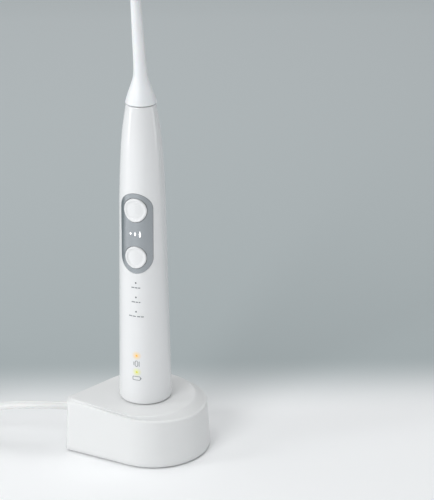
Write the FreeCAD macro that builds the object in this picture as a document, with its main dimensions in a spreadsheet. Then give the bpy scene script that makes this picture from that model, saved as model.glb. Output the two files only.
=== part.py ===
"""Rechargeable electric toothbrush standing on its charger, in millimetres.

+Z is up and the buttons face -Y. The origin lies on the axis of the charging peg,
in the plane that the charger stands on. The drop-shaped charger is turned about
that axis, so its pieces are drawn along +X (nose) and -X (cord end) and then turned.
"""
import FreeCAD, Part
import math
import os
import re
import Sketcher

V = FreeCAD.Vector

# ---------------------------------------------------------------- driving dimensions
SIZES = {
    # charger housing
    "charger_turn": 22.8,          # degrees from +X to the nose
    "nose_radius": 31.0,
    "nose_shift": 5.0,             # centre of the round end, ahead of the peg
    "tail_reach": 45.5,            # peg axis to the cord end
    "tail_half": 5.2,
    "tail_corner": 2.8,
    "draft": 1.5,                  # how far the wall leans out towards its foot
    "wall_lift": 0.9,              # housing edge above the table
    "edge_height": 30.0,           # top edge, beside the peg
    "edge_slope": 2.4,             # degrees that the top edge falls towards the nose
    "edge_round": 1.0,
    "plateau_height": 32.6,
    "plateau_radius": 29.0,
    "plateau_inset": 1.0,
    "charger_wall": 2.0,
    "cover_thick": 2.2,
    "pad_thick": 1.3,
    "pad_inset": 4.0,              # extra inset of the foot pad round the nose
    "cover_gap": 0.3,
    "boss_radius": 2.6,
    # charging peg and what is in it
    "peg_radius": 4.6,
    "peg_height": 15.0,
    "peg_wall": 1.0,
    "ferrite_radius": 2.0,
    "former_wall": 0.4,
    "primary_turns": 0.9,          # radial thickness of the winding
    "fit_gap": 0.1,
    # charger electronics
    "charger_board_long": 38.0,
    "charger_board_wide": 30.0,
    "charger_board_thick": 1.6,
    "charger_board_rise": 5.0,
    # cord inlet
    "inlet_height": 27.2,
    "inlet_long": 9.0,
    "inlet_lip": 0.6,
    "inlet_radius": 3.1,
    # handle shell
    "stand_gap": 0.5,              # handle above the plateau
    "handle_length": 177.5,
    "foot_radius": 15.3,
    "foot_round": 2.2,
    "grip_rise": 118.0,            # where the straight taper ends
    "grip_radius": 13.1,
    "shoulder_rise": 153.5,
    "shoulder_radius": 11.5,
    "top_radius": 8.4,
    "top_round": 0.8,
    "shoulder_bow": 720.0,         # radii of the two arcs above the taper
    "neck_bow": 200.0,
    "handle_wall": 2.0,
    # bottom cap and charging recess
    "recess_gap": 0.3,
    "recess_wall": 0.9,
    "recess_roof": 1.2,
    "cap_radius": 12.4,
    "cap_thick": 3.0,
    "cap_gap": 0.05,
    "seal_radius": 0.8,
    "receiver_turns": 2.3,
    "receiver_high": 10.0,
    "bobbin_wall": 0.6,
    # front panel and buttons
    "panel_low": 81.5,             # heights above the handle's foot
    "panel_high": 129.0,
    "panel_half": 9.3,
    "panel_thick": 0.7,
    "panel_proud": 0.15,
    "power_rise": 119.2,
    "power_half": 6.5,
    "mode_rise": 91.2,
    "mode_half": 6.1,
    "button_tall": 1.07,           # height of a button over its width
    "button_proud": 0.9,
    "button_deep": 2.2,
    "button_dish": 16.0,
    "button_gap": 0.25,
    "membrane_thick": 0.6,
    "membrane_gap": 1.0,
    "membrane_rim": 1.2,
    # lights
    "drop_rise": 105.3,
    "drop_pitch": 2.7,
    "drop_radius": 0.55,
    "mode_light_top": 75.7,
    "mode_light_pitch": 8.8,
    "mode_light_radius": 0.5,
    "status_light_top": 30.7,
    "status_light_pitch": 10.3,
    "status_light_radius": 0.6,
    # inside the handle
    "chassis_low": 23.0,
    "chassis_high": 121.0,
    "chassis_half": 7.4,
    "chassis_thick": 1.2,
    "board_front": 6.6,            # distance of the board's front face from the axis
    "board_thick": 1.0,
    "board_half": 6.6,
    "board_low": 25.0,
    "board_high": 120.0,
    "battery_radius": 6.9,
    "battery_long": 49.0,
    "battery_rise": 28.0,
    "battery_back": 2.9,
    "contact_thick": 0.5,
    "switch_half": 2.6,
    "switch_thick": 1.6,
    "plunger_radius": 1.4,
    # motor
    "motor_low": 123.5,
    "motor_high": 160.0,
    "motor_radius": 7.6,
    "motor_wall": 0.6,
    "end_thick": 1.2,
    "stator_length": 19.0,
    "stator_radius": 6.9,
    "pole_radius": 4.95,
    "pole_thick": 0.75,
    "magnet_radius": 4.5,
    "magnet_length": 15.0,
    "bearing_radius": 3.4,
    "bearing_thick": 3.0,
    "shaft_radius": 1.5,
    "running_gap": 0.05,
    "clear_gap": 0.4,
    "torsion_radius": 0.7,
    "torsion_long": 13.0,
    "damper_thick": 4.0,
    # drive shaft above the handle and the brush head
    "tip_radius": 1.9,
    "tip_rise": 18.0,
    "tip_flat": 1.2,
    "boot_radius": 4.6,
    "boot_rise": 0.35,
    "head_gap": 0.6,
    "skirt_radius": 8.75,
    "skirt_wall": 1.1,
    "socket_radius": 2.75,
    "socket_low": 2.5,
    "socket_high": 19.5,
    "lean": 8.0,                   # degrees that the neck leans forward
    "lean_start": 17.0,
    "neck_top": 69.0,
    "neck_radius": 2.65,
    "head_low": 63.0,
    "head_long": 29.0,
    "head_half": 5.6,
    "head_thick": 4.6,
    "tuft_radius": 0.8,
    "tuft_long": 10.5,
    "tuft_pitch": 2.35,
    # cord
    "cord_radius": 2.0,
    "coil_radius": 33.0,
    "coil_half": 6.5,
    "coil_high": 11.0,
    "plug_half": 11.5,
    "plug_high": 15.0,
    "plug_long": 31.0,
    "blade_wide": 6.3,
    "blade_thick": 1.5,
    "blade_long": 17.0,
    "blade_pitch": 12.7,
}

doc = FreeCAD.newDocument("toothbrush_on_charger")
dims = doc.addObject("Spreadsheet::Sheet", "dims")
for row, (alias, value) in enumerate(SIZES.items(), start=1):
    dims.set(f"A{row}", alias)
    dims.set(f"B{row}", str(value))
    dims.setAlias(f"B{row}", alias)
doc.recompute()

PIECES = []


# ---------------------------------------------------------------- helpers
def bound(text):
    """An expression in which each size's name reads the sheet."""
    return re.sub(r"[a-z_]+", lambda m: f"dims.{m[0]}" if m[0] in SIZES else m[0], text)


def number(text):
    """What an expression comes to, for the first place of a sketch's points."""
    return float(dims.evalExpression(bound(text)))


def piece(label, thing):
    """Names a finished sub-part."""
    thing.Label = label
    PIECES.append(thing)
    return thing


def put(thing, x="0", y="0", z="0"):
    for axis, text in zip("xyz", (x, y, z)):
        thing.setExpression(f"Placement.Base.{axis}", bound(text))
    return thing


def put_on_charger(thing, x="0", y="0", z="0"):
    """Places a piece in the charger's own directions and turns it with the charger."""
    thing.Placement = FreeCAD.Placement(V(0, 0, 0), FreeCAD.Rotation(V(0, 0, 1), 1))
    thing.setExpression("Placement.Rotation.Angle", bound("charger_turn"))
    put(
        thing,
        f"({x}) * cos(charger_turn) - ({y}) * sin(charger_turn)",
        f"({x}) * sin(charger_turn) + ({y}) * cos(charger_turn)",
        z,
    )
    return thing


def rod(radius, length, x="0", y="0", z="0"):
    """A round bar that stands at x, y, z."""
    thing = doc.addObject("Part::Cylinder", "Rod")
    thing.setExpression("Radius", bound(radius))
    thing.setExpression("Height", bound(length))
    return put(thing, x, y, z)


def forward_rod(radius, length, x, y, z):
    """A round bar that starts at x, y, z and points to the front, along -Y."""
    thing = rod(radius, length)
    thing.Placement = FreeCAD.Placement(V(0, 0, 0), FreeCAD.Rotation(V(1, 0, 0), 90))
    return put(thing, x, y, z)


def block(wide, deep, high, x="0", y="0", z="0"):
    """A box whose middle in X and Y is at x, y and whose underside is at z."""
    thing = doc.addObject("Part::Box", "Block")
    thing.setExpression("Length", bound(wide))
    thing.setExpression("Width", bound(deep))
    thing.setExpression("Height", bound(high))
    return put(thing, f"({x}) - ({wide}) / 2", f"({y}) - ({deep}) / 2", z)


def cut(base, *tools):
    for tool in tools:
        result = doc.addObject("Part::Cut", "Cut")
        result.Base = base
        result.Tool = tool
        base = result
    return base


def fuse(*things):
    result = doc.addObject("Part::MultiFuse", "Fuse")
    result.Shapes = list(things)
    return result


def common(*things):
    result = doc.addObject("Part::MultiCommon", "Common")
    result.Shapes = list(things)
    return result


def new_body(name):
    return doc.addObject("PartDesign::Body", name)


def sketch_on(body, role, name, height="0", tilt=None):
    """A sketch on one of the body's own planes, raised by height."""
    sketch = body.newObject("Sketcher::SketchObject", name)
    plane = next(f for f in body.Origin.OriginFeatures if f.Role == role)
    sketch.AttachmentSupport = [(plane, "")]
    sketch.MapMode = "FlatFace"
    if tilt:
        sketch.AttachmentOffset = FreeCAD.Placement(V(0, 0, 0), FreeCAD.Rotation(V(0, 1, 0), 1))
        sketch.setExpression("AttachmentOffset.Rotation.Angle", bound(tilt))
    sketch.setExpression("AttachmentOffset.Base.z", bound(height))
    return sketch


def set_size(sketch, constraint, text):
    """Adds a constraint and ties its size to the sheet."""
    index = sketch.addConstraint(constraint)
    sketch.setExpression(f"Constraints[{index}]", bound(text))


def arc_between(first, last, radius):
    """The arc from first to last that bulges to the right of the way, radius > 0, or to the left."""
    middle = (first + last) / 2
    half = (last - first).Length / 2
    way = (last - first).normalize()
    left = V(-way.y, way.x, 0)
    drop = math.sqrt(max(radius * radius - half * half, 0))
    centre = middle + left * (drop if radius > 0 else -drop)
    start, end = (first, last) if radius > 0 else (last, first)
    angles = [math.atan2(p.y - centre.y, p.x - centre.x) for p in (start, end)]
    circle = Part.Circle(centre, V(0, 0, 1), abs(radius))
    return Part.ArcOfCircle(circle, angles[0], angles[1])


def outline(sketch, corners):
    """A closed outline. A corner is (x, y), or (x, y, r) where an arc of radius r leads to it."""
    spots = [V(number(c[0]), number(c[1]), 0) for c in corners]
    ends = []
    for index, corner in enumerate(corners):
        first, last = spots[index - 1], spots[index]
        if len(corner) == 2:
            edge = sketch.addGeometry(Part.LineSegment(first, last))
            ends.append((edge, 1, 2))
        else:
            radius = number(corner[2])
            edge = sketch.addGeometry(arc_between(first, last, radius))
            ends.append((edge, 1, 2) if radius > 0 else (edge, 2, 1))
    for index, (edge, _, last) in enumerate(ends):
        following, first, _ = ends[(index + 1) % len(ends)]
        sketch.addConstraint(Sketcher.Constraint("Coincident", edge, last, following, first))
    for (edge, _, last), corner in zip(ends, corners):
        for kind, text in zip(("DistanceX", "DistanceY"), corner):
            set_size(sketch, Sketcher.Constraint(kind, -1, 1, edge, last, number(text)), text)
        if len(corner) == 3:
            radius = abs(number(corner[2]))
            set_size(sketch, Sketcher.Constraint("Radius", edge, radius), f"abs({corner[2]})")


def turned(name, corners):
    """A body turned about Z: its corners are given as (radius, height)."""
    body = new_body(name)
    sketch = sketch_on(body, "XZ_Plane", name + "Section")
    outline(sketch, corners)
    turn = body.newObject("PartDesign::Revolution", name + "Turned")
    turn.Profile = sketch
    turn.ReferenceAxis = (sketch, ["V_Axis"])
    turn.Angle = 360
    return body


def pill(name, half, low, high, deep):
    """A bar with a pill-shaped section, from the XZ plane to the front."""
    body = new_body(name)
    sketch = sketch_on(body, "XZ_Plane", name + "Section")
    outline(
        sketch,
        [
            (half, f"{low} + {half}"),
            (half, f"{high} - ({half})"),
            ("0", high, half),
            (f"-({half})", f"{high} - ({half})", half),
            (f"-({half})", f"{low} + {half}"),
            ("0", low, half),
            (half, f"{low} + {half}", half),
        ][1:],
    )
    pad = body.newObject("PartDesign::Pad", name + "Pad")
    pad.Profile = sketch
    pad.setExpression("Length", bound(deep))
    return body


def drop_shape(body, name, height, grow, middle, radius, tilt=None):
    """The charger's drop-shaped outline: a round end at +X and a narrow cord end at -X."""
    sketch = sketch_on(body, "XY_Plane", name, height, tilt)
    big, centre = number(f"{radius} + {grow}"), V(number(middle), 0, 0)
    small = number("tail_corner")
    reach = number(f"tail_reach + {grow}")
    half = number(f"tail_half + {grow}")
    corner = V(small - reach, half - small, 0)
    way = math.atan2(corner.y, corner.x - centre.x)
    lean = way - math.acos((big - small) / (corner - centre).Length)
    side = V(math.cos(lean), math.sin(lean), 0)
    z_axis = V(0, 0, 1)
    down = V(1, -1, 0)
    start, end = centre + side * big, corner + side * small

    def mirrored(point):
        return V(point.x * down.x, point.y * down.y, 0)

    round_end = sketch.addGeometry(Part.ArcOfCircle(Part.Circle(centre, z_axis, big), -lean, lean))
    upper = sketch.addGeometry(Part.LineSegment(start, end))
    circle = Part.Circle(corner, z_axis, small)
    upper_corner = sketch.addGeometry(Part.ArcOfCircle(circle, lean, math.pi))
    tail_top = V(-reach, corner.y, 0)
    tail = sketch.addGeometry(Part.LineSegment(tail_top, mirrored(tail_top)))
    circle = Part.Circle(mirrored(corner), z_axis, small)
    lower_corner = sketch.addGeometry(Part.ArcOfCircle(circle, math.pi, 2 * math.pi - lean))
    lower = sketch.addGeometry(Part.LineSegment(mirrored(end), mirrored(start)))
    ring = [round_end, upper, upper_corner, tail, lower_corner, lower]
    for edge, following in zip(ring, ring[1:] + ring[:1]):
        sketch.addConstraint(Sketcher.Constraint("Tangent", edge, 2, following, 1))
    set_size(sketch, Sketcher.Constraint("Radius", round_end, big), f"{radius} + {grow}")
    set_size(sketch, Sketcher.Constraint("DistanceX", -1, 1, round_end, 3, centre.x), middle)
    sketch.addConstraint(Sketcher.Constraint("PointOnObject", round_end, 3, -1))
    for edge in (upper_corner, lower_corner):
        set_size(sketch, Sketcher.Constraint("Radius", edge, small), "tail_corner")
    reach_text = f"-(tail_reach + {grow})"
    set_size(sketch, Sketcher.Constraint("DistanceX", -1, 1, tail, 1, -reach), reach_text)
    half_text = f"tail_half + {grow} - tail_corner"
    set_size(sketch, Sketcher.Constraint("DistanceY", -1, 1, upper_corner, 3, corner.y), half_text)
    set_size(sketch, Sketcher.Constraint("DistanceY", lower_corner, 3, -1, 1, corner.y), half_text)
    return sketch


def loft(body, kind, name, sections):
    """Straight-sided loft through the sections, added to or cut from the body."""
    feature = body.newObject(f"PartDesign::{kind}Loft", name)
    feature.Profile = sections[0]
    feature.Sections = sections[1:]
    feature.Ruled = True
    return feature


# ---------------------------------------------------------------- charger
CHARGER_FLOOR = "(pad_thick + cover_thick)"
PEG_TOP = "(plateau_height + peg_height)"
PEG_BORE = "(peg_radius - peg_wall)"
SLOPE = "edge_slope"
BOSSES = ((25, 17.2), (25, -17.2), (-26, 0))
CAPACITOR = ("16", "-7")
CHOKE = ("16", "7.5")
CHIP = ("-9", "0")


def charger_housing():
    body = new_body("HousingBody")
    foot = drop_shape(body, "Foot", "wall_lift", "draft", "nose_shift", "nose_radius")
    low = "edge_height - edge_round"
    side = drop_shape(body, "Side", low, "0", "nose_shift", "nose_radius", SLOPE)
    edge = drop_shape(body, "Edge", "edge_height", "-edge_round", "nose_shift", "nose_radius", SLOPE)
    inset = "edge_round + plateau_inset"
    round_top = f"plateau_radius + {inset}"
    top = drop_shape(body, "Top", "plateau_height", f"-({inset})", "0", round_top)
    loft(body, "Additive", "Wall", [foot, side])
    loft(body, "Additive", "RoundedEdge", [side, edge])
    loft(body, "Additive", "Crescent", [edge, top])
    inner_foot = drop_shape(
        body, "InnerFoot", "wall_lift", "draft - charger_wall", "nose_shift", "nose_radius"
    )
    roof = "(edge_height - charger_wall * 1.2)"
    inner_top = drop_shape(body, "InnerTop", roof, "-charger_wall", "nose_shift", "nose_radius", SLOPE)
    loft(body, "Subtractive", "Hollow", [inner_foot, inner_top])
    peg = turned(
        "Peg",
        [
            ("0", roof),
            ("peg_radius", roof),
            ("peg_radius", f"{PEG_TOP} - edge_round"),
            ("peg_radius - edge_round", PEG_TOP, "edge_round"),
            ("0", PEG_TOP),
        ],
    )
    bosses = [
        rod("boss_radius", f"edge_height - charger_wall - {CHARGER_FLOOR}", str(x), str(y), CHARGER_FLOOR)
        for x, y in BOSSES
    ]
    whole = fuse(body, peg, *bosses)
    bore = rod(PEG_BORE, f"{PEG_TOP} - {roof}", z=f"{roof} - peg_wall")
    inlet = rod("inlet_radius", "inlet_long + edge_height")
    inlet.Placement = FreeCAD.Placement(V(0, 0, 0), FreeCAD.Rotation(V(0, 1, 0), -90))
    put(inlet, x="-tail_reach + inlet_long", z="inlet_height")
    put_on_charger(piece("charger_housing", cut(whole, bore, inlet)))


def charger_underside():
    body = new_body("CoverBody")
    grow = "draft - charger_wall - cover_gap"
    sketch = drop_shape(body, "CoverOutline", "pad_thick", grow, "nose_shift", "nose_radius")
    pad = body.newObject("PartDesign::Pad", "CoverPlate")
    pad.Profile = sketch
    pad.setExpression("Length", bound("cover_thick"))
    posts = [
        rod("2", "charger_board_rise", str(x), str(y), CHARGER_FLOOR)
        for x in (-8, 14)
        for y in (-11, 11)
    ]
    put_on_charger(piece("base_cover", fuse(body, *posts)))
    body = new_body("FootPadBody")
    grow = "-charger_wall"
    radius = "nose_radius - pad_inset"
    sketch = drop_shape(body, "FootPadOutline", "0", grow, "nose_shift", radius)
    pad = body.newObject("PartDesign::Pad", "FootPadPlate")
    pad.Profile = sketch
    pad.setExpression("Length", bound("pad_thick"))
    put_on_charger(piece("foot_pad", body))


def charger_coil():
    low = f"({CHARGER_FLOOR} + charger_board_rise + charger_board_thick)"
    high = f"({PEG_TOP} - peg_wall - fit_gap)"
    piece("ferrite_core", rod("ferrite_radius", f"{high} - {low}", z=low))
    inner = "ferrite_radius + fit_gap"
    outer = f"{inner} + former_wall"
    flange = f"{PEG_BORE} - fit_gap"
    start, end = f"({high} - 14)", f"({high} - 1)"
    former = turned(
        "CoilFormer",
        [
            (inner, f"{start} - former_wall"),
            (flange, f"{start} - former_wall"),
            (flange, start),
            (outer, start),
            (outer, end),
            (flange, end),
            (flange, f"{end} + former_wall"),
            (inner, f"{end} + former_wall"),
        ],
    )
    piece("primary_coil_former", former)
    winding = cut(rod(f"{outer} + primary_turns", f"{end} - {start}", z=start), rod(outer, "40", z=start))
    piece("primary_coil", winding)


def charger_electronics():
    low = f"({CHARGER_FLOOR} + charger_board_rise)"
    top = f"({low} + charger_board_thick)"
    board = block("charger_board_long", "charger_board_wide", "charger_board_thick")
    put_on_charger(
        piece("charger_board", board), "3 - charger_board_long / 2", "-charger_board_wide / 2", low
    )
    put_on_charger(piece("charger_capacitor", rod("4.5", "11")), *CAPACITOR, top)
    put_on_charger(piece("charger_choke", rod("4", "8")), *CHOKE, top)
    chip = block("8", "6", "2.2")
    put_on_charger(piece("charger_chip", chip), f"{CHIP[0]} - 4", f"{CHIP[1]} - 3", top)


def cord_grommet():
    """The bush that holds the cord where it enters the narrow end."""
    bush = piece("cord_grommet", rod("inlet_radius", "inlet_long + inlet_lip"))
    lying = FreeCAD.Rotation(V(0, 0, 1), number("charger_turn")) * FreeCAD.Rotation(V(0, 1, 0), -90)
    bush.Placement = FreeCAD.Placement(V(0, 0, 0), lying)
    start = "(-tail_reach + inlet_long)"
    put(bush, f"{start} * cos(charger_turn)", f"{start} * sin(charger_turn)", "inlet_height")


# ---------------------------------------------------------------- handle
FOOT = "(plateau_height + stand_gap)"
TOP = "(plateau_height + stand_gap + handle_length)"
RECESS = "(peg_radius + recess_gap)"
RECESS_TUBE = "(peg_radius + recess_gap + recess_wall)"
RECESS_ROOF = "(plateau_height + peg_height + recess_gap)"
BUTTONS = {"power": ("power_half", "power_rise"), "mode": ("mode_half", "mode_rise")}


def side(inset):
    """The handle's side from foot to top, moved inwards by inset."""
    return [
        (f"grip_radius - ({inset})", f"{FOOT} + grip_rise"),
        (f"shoulder_radius - ({inset})", f"{FOOT} + shoulder_rise", "shoulder_bow"),
    ]


def skin(name, inset):
    """A solid of the handle's outer shape, moved inwards by inset."""
    return turned(
        name,
        [
            ("0", FOOT),
            (f"foot_radius - ({inset})", FOOT),
            *side(inset),
            (f"top_radius - ({inset})", TOP, "neck_bow"),
            ("0", TOP),
        ],
    )


def radius_at(rise):
    """The handle's outer radius along its straight taper."""
    return f"(foot_radius - (foot_radius - grip_radius) * ({rise}) / grip_rise)"


def button_shape(name, half, rise, gap="0"):
    """The short pill that a button, or its hole with a gap all round, is cut with."""
    wide = f"({half} + {gap})"
    tall = f"({half} * button_tall + {gap})"
    low, high = (f"{FOOT} + {rise} {sign} {tall}" for sign in "-+")
    return pill(name, wide, low, high, "30")


def panel_shape(name, gap):
    low, high = f"({FOOT} + panel_low - {gap})", f"({FOOT} + panel_high + {gap})"
    return pill(name, f"(panel_half + {gap})", low, high, "30")


def light_spots():
    """Each light's node, radius, sideways place and rise."""
    spots = [("level_lights", "drop_radius", f"drop_pitch * {n}", "drop_rise") for n in (-1, 0, 1)]
    for node, count in (("mode_lights", 3), ("status_lights", 2)):
        root = node[:-1]
        spots += [
            (node, f"{root}_radius", "0", f"({root}_top - {root}_pitch * {n})") for n in range(count)
        ]
    return spots


def handle_shell():
    outer = turned(
        "HandleOutside",
        [
            ("0", FOOT),
            ("foot_radius - foot_round", FOOT),
            ("foot_radius", f"{FOOT} + foot_round", "foot_round"),
            *side("0"),
            ("top_radius", f"{TOP} - top_round", "neck_bow"),
            ("top_radius - top_round", TOP, "top_round"),
            ("0", TOP),
        ],
    )
    cavity = turned(
        "HandleInside",
        [
            ("0", f"{FOOT} - 1"),
            ("cap_radius", f"{FOOT} - 1"),
            ("cap_radius", f"{FOOT} + cap_thick"),
            ("foot_radius - handle_wall", f"{FOOT} + cap_thick + 1"),
            *side("handle_wall"),
            ("top_radius - handle_wall", f"{TOP} - handle_wall", "neck_bow"),
            ("0", f"{TOP} - handle_wall"),
        ],
    )
    recess_ring = cut(skin("PanelRoom", "-2"), skin("PanelSeat", "panel_thick"))
    recess = common(panel_shape("PanelRecess", "fit_gap"), recess_ring)
    holes = [button_shape(f"{n}Hole", h, r, "button_gap") for n, (h, r) in BUTTONS.items()]
    for node, radius, x, rise in light_spots():
        holes.append(forward_rod(radius, "30", x, "0", f"{FOOT} + {rise}"))
    mouth = rod("boot_radius", "10", z=f"{TOP} - 5")
    piece("handle_shell", cut(outer, cavity, mouth, recess, *holes))
    return cavity


def front_panel():
    ring = cut(skin("PanelFace", "-panel_proud"), skin("PanelBack", "panel_thick"))
    plate = common(panel_shape("PanelPlate", "0"), ring)
    holes = [button_shape(f"{n}PanelHole", h, r, "button_gap") for n, (h, r) in BUTTONS.items()]
    for node, radius, x, rise in light_spots():
        if node == "level_lights":
            holes.append(forward_rod(radius, "30", x, "0", f"{FOOT} + {rise}"))
    piece("front_panel", cut(plate, *holes))


def buttons():
    for name, (half, rise) in BUTTONS.items():
        ring = cut(skin(f"{name}Face", "-button_proud"), skin(f"{name}Back", "button_deep"))
        cap = common(button_shape(f"{name}Cap", half, rise), ring)
        ball = doc.addObject("Part::Sphere", f"{name}Dish")
        ball.setExpression("Radius", bound("button_dish"))
        put(ball, "0", f"-{radius_at(rise)} - button_proud / 2 - button_dish", f"{FOOT} + {rise}")
        piece(f"{name}_button", cut(cap, ball))


def button_membrane():
    back = "handle_wall + membrane_gap + membrane_thick"
    ring = cut(skin("MembraneFace", "handle_wall"), skin("MembraneBack", back))
    outer = common(panel_shape("MembraneOutline", "-fit_gap"), ring)
    room = cut(skin("MembraneRoom", "0"), skin("MembraneFront", "handle_wall + membrane_gap"))
    hollow = common(panel_shape("MembraneHollow", "-fit_gap - membrane_rim"), room)
    piece("button_membrane", cut(outer, hollow))


def lights():
    """The clear pins that carry light through the wall."""
    for node in ("level_lights", "mode_lights", "status_lights"):
        face = "-panel_proud" if node == "level_lights" else "0"
        ring = cut(skin(f"{node}Face", face), skin(f"{node}Back", "handle_wall"))
        pins = [
            forward_rod(radius, "30", x, "0", f"{FOOT} + {rise}")
            for name, radius, x, rise in light_spots()
            if name == node
        ]
        piece(node, common(ring, fuse(*pins)))


def bottom_cap():
    groove = f"{FOOT} + cap_thick / 2"
    bed = "cap_radius - seal_radius * 2 - fit_gap"
    cap = turned(
        "CapTurned",
        [
            (RECESS, FOOT),
            ("cap_radius - cap_gap", FOOT),
            ("cap_radius - cap_gap", f"{groove} - seal_radius"),
            (bed, f"{groove} - seal_radius"),
            (bed, f"{groove} + seal_radius"),
            ("cap_radius - cap_gap", f"{groove} + seal_radius"),
            ("cap_radius - cap_gap", f"{FOOT} + cap_thick"),
            (RECESS_TUBE, f"{FOOT} + cap_thick"),
            (RECESS_TUBE, f"{RECESS_ROOF} + recess_roof"),
            ("0", f"{RECESS_ROOF} + recess_roof"),
            ("0", RECESS_ROOF),
            (RECESS, RECESS_ROOF),
        ],
    )
    piece("bottom_cap", cap)
    seal = doc.addObject("Part::Torus", "Seal")
    seal.setExpression("Radius1", bound("cap_radius - seal_radius - cap_gap"))
    seal.setExpression("Radius2", bound("seal_radius - cap_gap / 2"))
    piece("cap_seal", put(seal, z=groove))


def receiver_coil():
    low = f"{FOOT} + cap_thick"
    inner = f"{RECESS_TUBE} + bobbin_wall"
    flange = f"{inner} + receiver_turns + 0.3"
    bobbin = turned(
        "BobbinTurned",
        [
            (RECESS_TUBE, low),
            (flange, low),
            (flange, f"{low} + bobbin_wall"),
            (inner, f"{low} + bobbin_wall"),
            (inner, f"{low} + bobbin_wall + receiver_high"),
            (flange, f"{low} + bobbin_wall + receiver_high"),
            (flange, f"{low} + bobbin_wall * 2 + receiver_high"),
            (RECESS_TUBE, f"{low} + bobbin_wall * 2 + receiver_high"),
        ],
    )
    piece("receiver_bobbin", bobbin)
    start = f"{low} + bobbin_wall"
    ring = rod(f"{inner} + receiver_turns", "receiver_high", z=start)
    piece("receiver_coil", cut(ring, rod(inner, "receiver_high", z=start)))


def chassis():
    """The inner frame: a plate behind the board, walls at the cell's ends and the spring's post."""
    back = "(board_front - board_thick)"
    middle = f"-{back} + chassis_thick / 2"
    high = "chassis_high - chassis_low"
    plate = block("chassis_half * 2", "chassis_thick", high, "0", middle, f"{FOOT} + chassis_low")
    deep = "12.5"
    wall_y = f"-{back} + {deep} / 2"
    low_wall = f"{FOOT} + battery_rise - contact_thick - 1.2 - chassis_thick"
    high_wall = f"{FOOT} + battery_rise + battery_long + 1 + contact_thick"
    walls = [
        block("chassis_half * 2", deep, "chassis_thick", "0", wall_y, z) for z in (low_wall, high_wall)
    ]
    post_z = f"{FOOT} + motor_low - torsion_long"
    post = block("5", f"{back} + 2", "3", "0", f"-({back}) / 2 + 1", post_z)
    hole = rod("torsion_radius + running_gap", "4", z=f"{post_z} - 0.5")
    piece("chassis", cut(fuse(plate, *walls, post), hole))


def battery():
    low = f"{FOOT} + battery_rise"
    cell = rod("battery_radius", "battery_long", "0", "battery_back", low)
    nub = rod("2.6", "battery_long + 1", "0", "battery_back", low)
    piece("battery_cell", fuse(cell, nub))
    top_z = f"{low} + battery_long + 1"
    piece("positive_contact", block("9", "7", "contact_thick", "0", "battery_back", top_z))
    plate_z = f"{low} - 1.2 - contact_thick"
    plate = block("9", "7", "contact_thick", "0", "battery_back", plate_z)
    spring = doc.addObject("Part::Cone", "ContactSpring")
    spring.Radius1 = 3.2
    spring.Radius2 = 1.8
    spring.Height = 1.2
    put(spring, "0", "battery_back", f"{low} - 1.2")
    piece("negative_contact", fuse(plate, spring))


def circuit_board():
    front = "board_front"
    tall = "board_high - board_low"
    middle = f"-{front} + board_thick / 2"
    board = block("board_half * 2", "board_thick", tall, "0", middle, f"{FOOT} + board_low")
    piece("circuit_board", board)
    for name, (_, rise) in BUTTONS.items():
        z = f"{FOOT} + {rise}"
        side_long = "switch_half * 2"
        case_y = f"-{front} - switch_thick / 2"
        case = block(side_long, "switch_thick", side_long, "0", case_y, f"{z} - switch_half")
        sheet = "handle_wall + membrane_gap + membrane_thick + fit_gap"
        reach = f"{radius_at(rise)} - ({sheet}) - board_front"
        plunger = forward_rod("plunger_radius", reach, "0", f"-{front}", z)
        piece(f"{name}_switch", fuse(case, plunger))
    parts = (
        ("main_chip", "7", "1.4", "7", "0", "100"),
        ("motor_driver_chip", "5", "1.2", "4", "-2.6", "110"),
        ("charging_chip", "5", "1.2", "4", "3", "42"),
    )
    for name, wide, deep, high, x, rise in parts:
        piece(name, block(wide, deep, high, x, f"-{front} - {deep} / 2", f"{FOOT} + {rise}"))


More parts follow.
